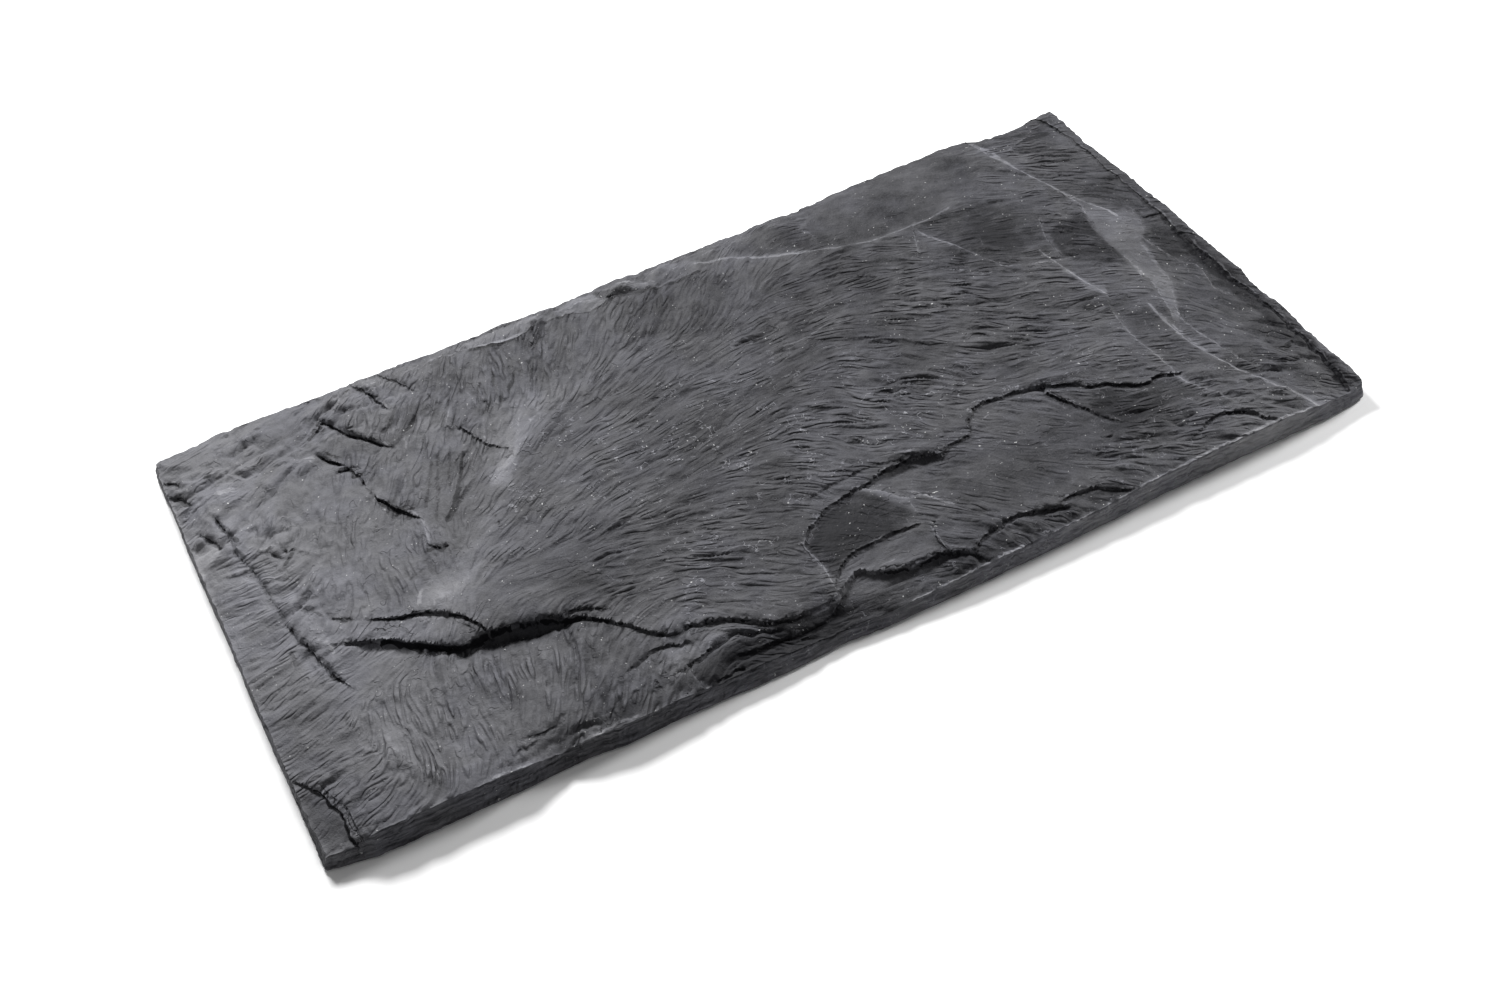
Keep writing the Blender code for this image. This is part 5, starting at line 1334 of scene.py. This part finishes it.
def shape_slab(block, columns, rows, settings):
    """Moves every point of the block to its place on the slab and notes what it is."""
    mesh = block.data
    places = np.empty(len(mesh.vertices) * 3)
    mesh.vertices.foreach_get("co", places)
    places = places.reshape(-1, 3)
    ring = rim(columns, rows)
    order = border_order(columns, rows)
    pitch = (FACE_SPAN[0] / columns, FACE_SPAN[1] / rows)

    # The face: relief and fine relief, eased into the top edge and under the cap
    plan = patch(ring["top"], columns, rows).reshape(-1, 2)
    x, y = plan[:, 0].copy(), plan[:, 1].copy()
    height, pull, edges = relief(x, y, settings)
    area_tone_light_and_shade, calm = areas_at(x, y)
    height += layered(x, y, (0.35, 30, 51), (0.20, 13, 52)) + mounds(x, y, TROUGHS)
    fine = fine_field(columns + 1, rows + 1, FACE_CORNER, pitch, settings, calm).ravel()
    beside_edge = np.maximum(edges.pop("crest"), edges.pop("foot"))
    height += (fine - FINE_LEVEL) * (1 - 0.75 * beside_edge)
    needed = ring["level"] - height[order]
    broad = soft_along(needed, RIM_AVERAGE)
    gap, nearest = rim_distance(columns, rows, pitch)
    blend = settings.rim_blend * PER_METRE
    height += broad[nearest] * np.exp(-((gap / blend) ** 2))
    height += (needed - broad)[nearest] * np.exp(-((gap / RIM_SNAP) ** 2))
    over = np.clip(height - CAP_START, 0, None)
    height += (CAP - CAP_START) * (1 - np.exp(-over / (CAP - CAP_START))) - over
    fade = (1 - np.exp(-((gap / 3) ** 2)))[:, None]
    plan = plan + pull * fade
    grid = np.column_stack([plan, height])

    # Each point of the rough block by its column, row and ring
    column = np.round((places[:, 0] + 0.5) * columns).astype(int)
    row = np.round((places[:, 1] + 0.5) * rows).astype(int)
    level = np.round(-places[:, 2] / RING_DROP).astype(int)
    index = row * (columns + 1) + column
    rank = np.full((rows + 1) * (columns + 1), -1)
    rank[order] = np.arange(len(order))
    result = np.zeros_like(places)
    on_face = level == 0
    result[on_face] = grid[index[on_face]]
    for number in range(1, WALL_RINGS + 1):
        chosen = level == number
        side = place_on_rim(ring, number / WALL_RINGS)
        result[chosen] = side[rank[index[chosen]]]
    base = level > WALL_RINGS
    foot_ring = place_on_rim(ring, 1.0)[:, :2]
    under = patch(foot_ring + ring["inward"] * UNDERSIDE_INSET, columns, rows)
    across = (places[base, 0] / UNDERSIDE_SIZE + 0.5) * columns
    up = (places[base, 1] / UNDERSIDE_SIZE + 0.5) * rows
    picked = under[np.round(up).astype(int), np.round(across).astype(int)]
    result[base, :2] = picked
    result[base, 2] = underside_height(picked[:, 0], picked[:, 1])

    mesh.vertices.foreach_set("co", fitted(result, settings).ravel())

    # Notes for the materials, one value for each point
    face_x, face_y = result[:, 0], result[:, 1]
    cosine, sine, ripple = grain_at(face_x, face_y)
    # Pale worn lines, and creases darkened as painted shade
    worn, strength = worn_and_shade_lines(x, y)
    edges.update(vein=worn, vein_strength=strength, area=area_tone_light_and_shade, calm=calm,
                 rim=np.exp(-((gap / RIM_WEAR) ** 2)))
    notes = {"flow_cosine": cosine, "flow_sine": sine, "side": np.where(on_face, 0.0, 1.0)}
    for name, values in edges.items():
        notes[name] = np.where(on_face, values[np.where(on_face, index, 0)], 0.0)
    notes["ripple"] = ripple * np.where(on_face, notes.pop("calm"), 1.0)
    # Tone: the stone's own, painted sheen and shade on the face, and painted light on the sides
    notes["tone"] = mounds(face_x, face_y, TONES_LIGHT_AND_SHADE) + np.where(
        on_face, notes.pop("area"), mounds(face_x, face_y, SIDE_PAINTED_LIGHT))
    notes["scars"] = np.clip(mounds(face_x, face_y, SCARRED), 0, 1)
    for name, values in notes.items():
        mesh.attributes.new(name, "FLOAT", "POINT").data.foreach_set(
            "value", values.astype(np.float32))
    mesh.update()


def thin_out(block):
    """Takes off the triangles that the shape needs least, and stays in the solids' box."""
    deselect()
    bpy.context.view_layer.objects.active = block
    block.select_set(True)
    triangles = sum(len(face.vertices) - 2 for face in block.data.polygons)
    if triangles > MOST_TRIANGLES:
        modifier = block.modifiers.new("thin", "DECIMATE")
        modifier.ratio = MOST_TRIANGLES / triangles
        bpy.ops.object.modifier_apply(modifier=modifier.name)
    points = np.empty(len(block.data.vertices) * 3)
    block.data.vertices.foreach_get("co", points)
    points = np.clip(points.reshape(-1, 3), *CAD_BOX)
    block.data.vertices.foreach_set("co", points.ravel())


def wire(tree, socket, source):
    """Feeds a socket from another one, or gives it a plain value."""
    if isinstance(source, bpy.types.NodeSocket):
        tree.links.new(source, socket)
    else:
        socket.default_value = source


def worked(tree, operation, first, second=0.0, clamp=False):
    """Output of a Math node."""
    node = tree.nodes.new("ShaderNodeMath")
    node.operation = operation
    node.use_clamp = clamp
    wire(tree, node.inputs[0], first)
    wire(tree, node.inputs[1], second)
    return node.outputs[0]


def ranged(tree, value, low, high, to_low=0.0, to_high=1.0):
    """Output of a Map Range node that eases a value from one range into another."""
    node = tree.nodes.new("ShaderNodeMapRange")
    node.interpolation_type = "SMOOTHSTEP"
    for name, source in (("Value", value), ("From Min", low), ("From Max", high),
                         ("To Min", to_low), ("To Max", to_high)):
        wire(tree, node.inputs[name], source)
    return node.outputs["Result"]


def mixed(tree, share, first, second, way="MIX"):
    """Colour output of a Mix node."""
    node = tree.nodes.new("ShaderNodeMix")
    node.data_type = "RGBA"
    node.blend_type = way
    wire(tree, node.inputs["Factor"], share)
    wire(tree, node.inputs[6], first)
    wire(tree, node.inputs[7], second)
    return node.outputs[2]


def noted(tree, name):
    """A value that the mesh carries at each point."""
    node = tree.nodes.new("ShaderNodeAttribute")
    node.attribute_name = name
    return node.outputs["Fac"]


def in_millimetres(tree):
    """Object coordinates in millimetres."""
    place = tree.nodes.new("ShaderNodeTexCoord")
    scale = tree.nodes.new("ShaderNodeVectorMath")
    scale.operation = "SCALE"
    scale.inputs["Scale"].default_value = PER_METRE
    tree.links.new(place.outputs["Object"], scale.inputs[0])
    return scale.outputs[0]


def speckle(tree, vector, size, detail=2.0, roughness=0.5):
    """Output of a Noise texture with lumps of a size in millimetres."""
    node = tree.nodes.new("ShaderNodeTexNoise")
    tree.links.new(vector, node.inputs["Vector"])
    node.inputs["Scale"].default_value = 1 / size
    node.inputs["Detail"].default_value = detail
    node.inputs["Roughness"].default_value = roughness
    return node.outputs["Fac"]


def swing(tree, vector, size, detail=2.0, roughness=0.5):
    """The same noise with 0 as its middle."""
    return worked(tree, "SUBTRACT", speckle(tree, vector, size, detail, roughness), 0.5)


def product(tree, first, second, clamp=False):
    """Product of two values."""
    return worked(tree, "MULTIPLY", first, second, clamp)


def new_group(name, inputs, outputs):
    """An empty node group with its sockets."""
    group = bpy.data.node_groups.new(name, "ShaderNodeTree")
    for label, kind, value in inputs:
        socket = group.interface.new_socket(label, in_out="INPUT", socket_type=kind)
        socket.default_value = value
    for label, kind in outputs:
        group.interface.new_socket(label, in_out="OUTPUT", socket_type=kind)
    start = group.nodes.new("NodeGroupInput")
    end = group.nodes.new("NodeGroupOutput")
    return group, start.outputs, end.inputs


def added(tree, *terms):
    """Sum of values, each with a factor."""
    total = 0.0
    for value, factor in terms:
        node = tree.nodes.new("ShaderNodeMath")
        node.operation = "MULTIPLY_ADD"
        wire(tree, node.inputs[0], value)
        node.inputs[1].default_value = factor
        wire(tree, node.inputs[2], total)
        total = node.outputs[0]
    return total


def grain_group():
    """Fine ripples that follow the split, the tooth of the stone, and painted shade in the ripples'
    valleys and at thin sheet edges.
    """
    group, given, out = new_group(
        "Split grain",
        (("Cosine", "NodeSocketFloat", 1.0), ("Sine", "NodeSocketFloat", 0.0),
         ("Strength", "NodeSocketFloat", 0.5)),
        (("Height", "NodeSocketFloat"), ("Streaks", "NodeSocketFloat"),
         ("Sheets", "NodeSocketFloat")))
    place = in_millimetres(group)
    turn = worked(group, "ARCTAN2", given["Sine"], given["Cosine"])
    turn = product(group, turn, 0.5)
    along = group.nodes.new("ShaderNodeCombineXYZ")
    wire(group, along.inputs["X"], worked(group, "COSINE", turn))
    wire(group, along.inputs["Y"], worked(group, "SINE", turn))
    taps = []
    for tap in range(-GRAIN_TAPS, GRAIN_TAPS + 1):
        moved = group.nodes.new("ShaderNodeVectorMath")
        moved.operation = "MULTIPLY_ADD"
        group.links.new(along.outputs[0], moved.inputs[0])
        moved.inputs[1].default_value = (tap * GRAIN_STRIDE,) * 3
        group.links.new(place, moved.inputs[2])
        value = swing(group, moved.outputs[0], 3.3, 0.0)
        taps.append((value, math.exp(-((tap / GRAIN_FADE) ** 2))))
    spread = math.sqrt(sum(weight * weight for _, weight in taps))
    streaks = added(group, *((value, weight / spread) for value, weight in taps))
    creased = ranged(group, worked(group, "ABSOLUTE", streaks), 0.0, 0.30)
    tooth = swing(group, place, 0.8, 3.0, 0.6)
    lumps = swing(group, place, 3.5, 3.0, 0.55)

    # Thin sheet edges in patches: each a steep climb with a pale line and a dark line of painted
    # shade
    layers = added(group, (speckle(group, place, 16.0, 3.0, 0.55), 5.5), (streaks, 1.0))
    part = worked(group, "FRACT", layers)
    steps = worked(group, "SUBTRACT", ranged(group, part, 0.0, 0.14), part)
    shown = ranged(group, speckle(group, place, 17.0), 0.50, 0.66)
    steps = product(group, steps, shown)
    shade_and_pale_lines = worked(group, "SUBTRACT", ranged(group, part, 0.10, 0.16), 1.0)
    pale = worked(group, "SUBTRACT", ranged(group, part, 0.14, 0.22),
                  ranged(group, part, 0.22, 0.42))
    shade_and_pale_lines = added(group, (shade_and_pale_lines, 1.0), (pale, 1.0))
    shade_and_pale_lines = product(group, shade_and_pale_lines, shown)

    # Level sheets, which show most on the sides
    flat = group.nodes.new("ShaderNodeVectorMath")
    flat.operation = "MULTIPLY"
    group.links.new(place, flat.inputs[0])
    flat.inputs[1].default_value = (0.10, 0.10, 1.0)
    wire(group, out["Sheets"], swing(group, flat.outputs[0], 1.4, 3.0, 0.55))

    strength = product(group, given["Strength"], ranged(
        group, speckle(group, place, 18.0), 0.38, 0.64, 0.25, 1.25))
    wire(group, out["Height"], added(
        group, (product(group, creased, strength), 0.50),
        (product(group, streaks, strength), 0.48), (tooth, 0.12), (lumps, 0.24),
        (steps, 0.22)))
    # Painted shade in the valleys of the ripples
    shaded_valleys = product(group, worked(group, "SUBTRACT", creased, 0.5), strength)
    wire(group, out["Streaks"], added(group, (shaded_valleys, 1.0), (shade_and_pale_lines, 0.16)))
    return group


def edge_group():
    """Tone along the broken edges and lines: lighter crests, painted shadow at the feet, pale lines
    and shaded creases, small scars.
    """
    group, given, out = new_group(
        "Worn edges and painted shade",
        (("Gap", "NodeSocketFloat", 6.0), ("Drop", "NodeSocketFloat", 0.0),
         ("Vein and shade line", "NodeSocketFloat", -2.0), ("Strength", "NodeSocketFloat", 0.0),
         ("Scars", "NodeSocketFloat", 0.0)),
        (("Tone", "NodeSocketFloat"), ("Height", "NodeSocketFloat")))
    place = in_millimetres(group)
    wobble = swing(group, place, 1.6, 2.0, 0.6)
    patchy = ranged(group, speckle(group, place, 6.0), 0.38, 0.62)
    gap = added(group, (wobble, 0.45), (given["Gap"], 1.0))

    # Pale crest on the high side of an edge
    rise = ranged(group, gap, -1.1, -0.5)
    crest = product(group, rise, ranged(group, gap, -0.15, 0.15, 1.0, 0.0))
    firm = product(group, given["Drop"], MOST_DROP / 1.2, clamp=True)
    crest = product(group, crest, product(group, patchy, firm))

    # Painted shadow at the foot, on the low side, broader under a tall edge
    tall = product(group, given["Drop"], given["Drop"])
    end = worked(group, "ADD", product(group, tall, 0.31 * MOST_DROP ** 2), 0.85)
    end = product(group, end, ranged(
        group, speckle(group, place, 11.0, 1.0), 0.38, 0.60, 0.55, 1.1))
    painted_shadow = product(group, ranged(group, gap, 0.0, 0.4),
                    ranged(group, gap, product(group, end, 0.78), end, 1.0, 0.0))
    painted_shadow = product(group, painted_shadow, firm)

    # Worn lines and creases of painted shade, with a soft border, fainter in places
    depth = added(group, (wobble, 1.1), (given["Vein and shade line"], 1.0))
    vein = added(group, (ranged(group, depth, -0.20, 0.35), 0.75),
                 (ranged(group, depth, -1.4, 0.5), 0.25))
    vein = product(group, vein, given["Strength"])
    faded = ranged(group, speckle(group, place, 9.0, 3.0, 0.6), 0.30, 0.55, 0.45, 1.0)
    vein = product(group, vein, faded)

    # Short curled scars
    curl = worked(group, "ABSOLUTE", swing(group, place, 4.5, 1.5))
    curl = product(group, ranged(group, curl, 0.012, 0.03, 1.0, 0.0), ranged(
        group, speckle(group, place, 6.5, 1.0), 0.57, 0.63))
    curl = product(group, curl, given["Scars"])
    wire(group, out["Tone"], added(group, (crest, 0.45), (painted_shadow, -0.80), (vein, 0.62), (curl, 0.8)))
    wire(group, out["Height"], added(group, (vein, 0.12), (curl, 0.2)))
    return group


def mineral_group():
    """Mottled colour of the stone with its pale flecks."""
    group, given, out = new_group(
        "Slate colour",
        (("Dark", "NodeSocketColor", (0.03, 0.03, 0.034, 1)),
         ("Pale", "NodeSocketColor", (0.12, 0.12, 0.13, 1)),
         ("Fleck", "NodeSocketColor", (0.4, 0.4, 0.4, 1)),
         ("Tone", "NodeSocketFloat", 0.0), ("Streaks", "NodeSocketFloat", 0.0)),
        (("Color", "NodeSocketColor"),))
    place = in_millimetres(group)
    share = worked(group, "ADD", added(
        group, (swing(group, place, 40.0, 3.0, 0.55), 0.65),
        (swing(group, place, 8.0, 4.0, 0.6), 0.34), (swing(group, place, 0.9, 2.0, 0.6), 0.3),
        (given["Streaks"], 0.20), (given["Tone"], 1.0)), 0.33)
    stone = mixed(group, worked(group, "ADD", share, 0.0, clamp=True), given["Dark"],
                  given["Pale"])
    blue = ranged(group, speckle(group, place, 26.0, 3.0, 0.5), 0.40, 0.62)
    stone = mixed(group, blue, stone, mixed(group, 1.0, stone, (0.985, 0.99, 1.03, 1.0),
                                            "MULTIPLY"))
    worn = product(group, worked(group, "SUBTRACT", share, 0.85), 0.45, clamp=True)
    spots = ranged(group, speckle(group, place, 1.5, 1.0, 0.4), 0.72, 0.80)
    rare = ranged(group, speckle(group, place, 16.0), 0.45, 0.62)
    flecks = worked(group, "MAXIMUM", product(group, spots, rare), worn)
    wire(group, out["Color"], mixed(group, flecks, stone, given["Fleck"]))
    return group


def stone_material(name, groups, settings, tone_shift, roughness, sheets):
    """Slate with its grain, flecks, worn crests, and painted shade under the steps, in creases and
    in the hollows.
    """
    material = bpy.data.materials.new(name)
    material.use_nodes = True
    tree = material.node_tree
    shader = tree.nodes["Principled BSDF"]
    grain, edges, colour = (tree.nodes.new("ShaderNodeGroup") for _ in groups)
    grain.node_tree, edges.node_tree, colour.node_tree = groups
    for node, label, note in (
            (grain, "Cosine", "flow_cosine"), (grain, "Sine", "flow_sine"),
            (grain, "Strength", "ripple"), (edges, "Gap", "edge_gap"),
            (edges, "Drop", "edge_drop"), (edges, "Vein and shade line", "vein"),
            (edges, "Strength", "vein_strength"), (edges, "Scars", "scars")):
        wire(tree, node.inputs[label], noted(tree, note))
    for label, value in (("Dark", settings.dark), ("Pale", settings.pale),
                         ("Fleck", settings.fleck)):
        colour.inputs[label].default_value = (*value, 1.0)
    # The tone carries the painted light and shade of the areas, edges and sides
    tone = added(tree, (noted(tree, "rim"), 0.08), (edges.outputs["Tone"], 1.0),
                 (noted(tree, "tone"), 1.0), (grain.outputs["Sheets"], sheets))
    wire(tree, colour.inputs["Tone"], worked(tree, "ADD", tone, tone_shift))
    wire(tree, colour.inputs["Streaks"], grain.outputs["Streaks"])
    wire(tree, shader.inputs["Base Color"], colour.outputs["Color"])
    height = added(tree, (grain.outputs["Height"], 1.0), (edges.outputs["Height"], 1.0),
                   (grain.outputs["Sheets"], 0.35 * sheets))
    bump = tree.nodes.new("ShaderNodeBump")
    bump.inputs["Distance"].default_value = settings.bump
    wire(tree, bump.inputs["Height"], height)
    wire(tree, shader.inputs["Normal"], bump.outputs["Normal"])
    gloss = worked(tree, "ADD", added(tree, (grain.outputs["Height"], 0.10)), roughness)
    wire(tree, shader.inputs["Roughness"], gloss)
    shader.inputs["Specular IOR Level"].default_value = STONE_SPECULAR
    return material


class SLAB_OT_slab(bpy.types.Operator):
    """Models the slab, with its split face, dressed edges and underside"""

    bl_idname = "slab.slab"
    bl_label = "Slab"

    def execute(self, context):
        """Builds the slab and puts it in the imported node's place."""
        settings = context.scene.slab_settings
        stone = context.scene.stone_settings
        columns = round(settings.length / settings.mesh_spacing)
        rows = round(settings.width / settings.mesh_spacing)
        block = rough_block(columns, rows)
        block.name = block.data.name = "slate_slab"
        shape_slab(block, columns, rows, settings)
        groups = (grain_group(), edge_group(), mineral_group())
        face = stone_material(
            "split_slate", groups, stone, FACE_SHIFT, stone.roughness, FACE_SHEETS)
        side = stone_material(
            "dressed_slate", groups, stone, SIDE_SHIFT, SIDE_ROUGHNESS, SIDE_SHEETS)
        block.data.materials.clear()
        block.data.materials.append(face)
        block.data.materials.append(side)
        edge = np.empty(len(block.data.vertices))
        block.data.attributes["side"].data.foreach_get("value", edge)
        for polygon in block.data.polygons:
            corners = list(polygon.vertices)
            polygon.material_index = int(edge[corners].mean() > SIDE_SHARE)
        thin_out(block)
        bpy.ops.object.shade_smooth_by_angle(angle=math.radians(SMOOTH_ANGLE))
        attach(block, "root")
        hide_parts("slab")
        return {"FINISHED"}


def soft_light(name, place, target, size, power):
    """A large soft rectangular light that faces a point."""
    lamp = bpy.data.lights.new(name, "AREA")
    lamp.shape = "RECTANGLE"
    lamp.size, lamp.size_y = size
    lamp.energy = power
    body = bpy.data.objects.new(name, lamp)
    body.location = place
    body.rotation_euler = (Vector(target) - Vector(place)).to_track_quat("-Z", "Y").to_euler()
    bpy.context.collection.objects.link(body)


def add_camera(lens):
    """Camera at the photograph's viewing angle."""
    azimuth, elevation = CAMERA_AZIMUTH, CAMERA_ELEVATION
    back = Vector((math.sin(azimuth) * math.cos(elevation),
                   -math.cos(azimuth) * math.cos(elevation), math.sin(elevation)))
    level = Vector((math.cos(azimuth), math.sin(azimuth), 0))
    above = back.cross(level)
    right = math.cos(CAMERA_ROLL) * level + math.sin(CAMERA_ROLL) * above
    up = math.cos(CAMERA_ROLL) * above - math.sin(CAMERA_ROLL) * level
    camera = bpy.data.cameras.new("camera")
    camera.lens = lens
    camera.sensor_width = SENSOR_WIDTH
    body = bpy.data.objects.new("camera", camera)
    turned = Matrix((right, up, back)).transposed().to_4x4()
    turned.translation = Vector(CAMERA_TARGET) + back * CAMERA_DISTANCE
    body.matrix_world = turned
    bpy.context.collection.objects.link(body)
    bpy.context.scene.camera = body


class SLAB_OT_stage(bpy.types.Operator):
    """Adds the floor, the soft lights and the camera"""

    bl_idname = "slab.stage"
    bl_label = "Studio stage"

    def execute(self, context):
        """Builds the stage."""
        settings = context.scene.stage_settings
        deselect()
        bpy.ops.mesh.primitive_grid_add(
            x_subdivisions=FLOOR_CELLS, y_subdivisions=FLOOR_CELLS, size=FLOOR_SIZE)
        floor = context.object
        floor.name = floor.data.name = "floor"
        bpy.ops.object.mode_set(mode="EDIT")
        bpy.ops.mesh.select_all(action="SELECT")
        bpy.ops.mesh.region_to_loop()
        bpy.ops.mesh.extrude_edges_move(TRANSFORM_OT_translate={"value": (0, 0, FLOOR_LIP)})
        bpy.ops.object.mode_set(mode="OBJECT")
        paper = bpy.data.materials.new("paper")
        paper.use_nodes = True
        shader = paper.node_tree.nodes["Principled BSDF"]
        shader.inputs["Base Color"].default_value = (*settings.floor, 1.0)
        shader.inputs["Roughness"].default_value = 0.9
        shader.inputs["Specular IOR Level"].default_value = 0.1
        floor.data.materials.append(paper)
        soft_light("softbox", place=(-0.1, 1.35, 1.0), target=(-0.1, 0, 0), size=(0.6, 0.35),
                   power=settings.softbox)
        soft_light("key", place=(1.5, 0.22, 0.62), target=(0, 0, 0), size=(0.3, 0.3),
                   power=settings.key)
        world = bpy.data.worlds.new("studio")
        world.use_nodes = True
        backdrop = world.node_tree.nodes["Background"]
        backdrop.inputs["Color"].default_value = (1, 1, 1, 1)
        backdrop.inputs["Strength"].default_value = WORLD_STRENGTH
        context.scene.world = world
        context.scene.view_settings.view_transform = "Standard"
        add_camera(settings.lens)
        return {"FINISHED"}


class SLAB_PT_panel(bpy.types.Panel):
    """Sizes, colours and steps of the slate slab"""

    bl_idname = "SLAB_PT_panel"
    bl_label = "Slate slab"
    bl_space_type = "VIEW_3D"
    bl_region_type = "UI"
    bl_category = "Slate slab"

    def draw(self, context):
        """Lists the settings and the operators."""
        for owner in (context.scene.slab_settings, context.scene.stone_settings,
                      context.scene.stage_settings):
            box = self.layout.box()
            for name in owner.bl_rna.properties.keys():
                if name not in ("rna_type", "name"):
                    box.prop(owner, name)
        self.layout.operator(SLAB_OT_slab.bl_idname)
        self.layout.operator(SLAB_OT_stage.bl_idname)


CLASSES = (SlabSettings, StoneSettings, StageSettings, SLAB_OT_slab, SLAB_OT_stage,
           SLAB_PT_panel)


def register():
    """Registers the classes and gives the scene its settings."""
    for item in CLASSES:
        bpy.utils.register_class(item)
    bpy.types.Scene.slab_settings = bpy.props.PointerProperty(type=SlabSettings)
    bpy.types.Scene.stone_settings = bpy.props.PointerProperty(type=StoneSettings)
    bpy.types.Scene.stage_settings = bpy.props.PointerProperty(type=StageSettings)


def unregister():
    """Takes the settings and the classes away again."""
    del bpy.types.Scene.slab_settings
    del bpy.types.Scene.stone_settings
    del bpy.types.Scene.stage_settings
    for item in reversed(CLASSES):
        bpy.utils.unregister_class(item)


def main():
    """Builds the slab and its stage."""
    register()
    bpy.ops.slab.slab()
    bpy.ops.slab.stage()


if __name__ == "__main__":
    main()
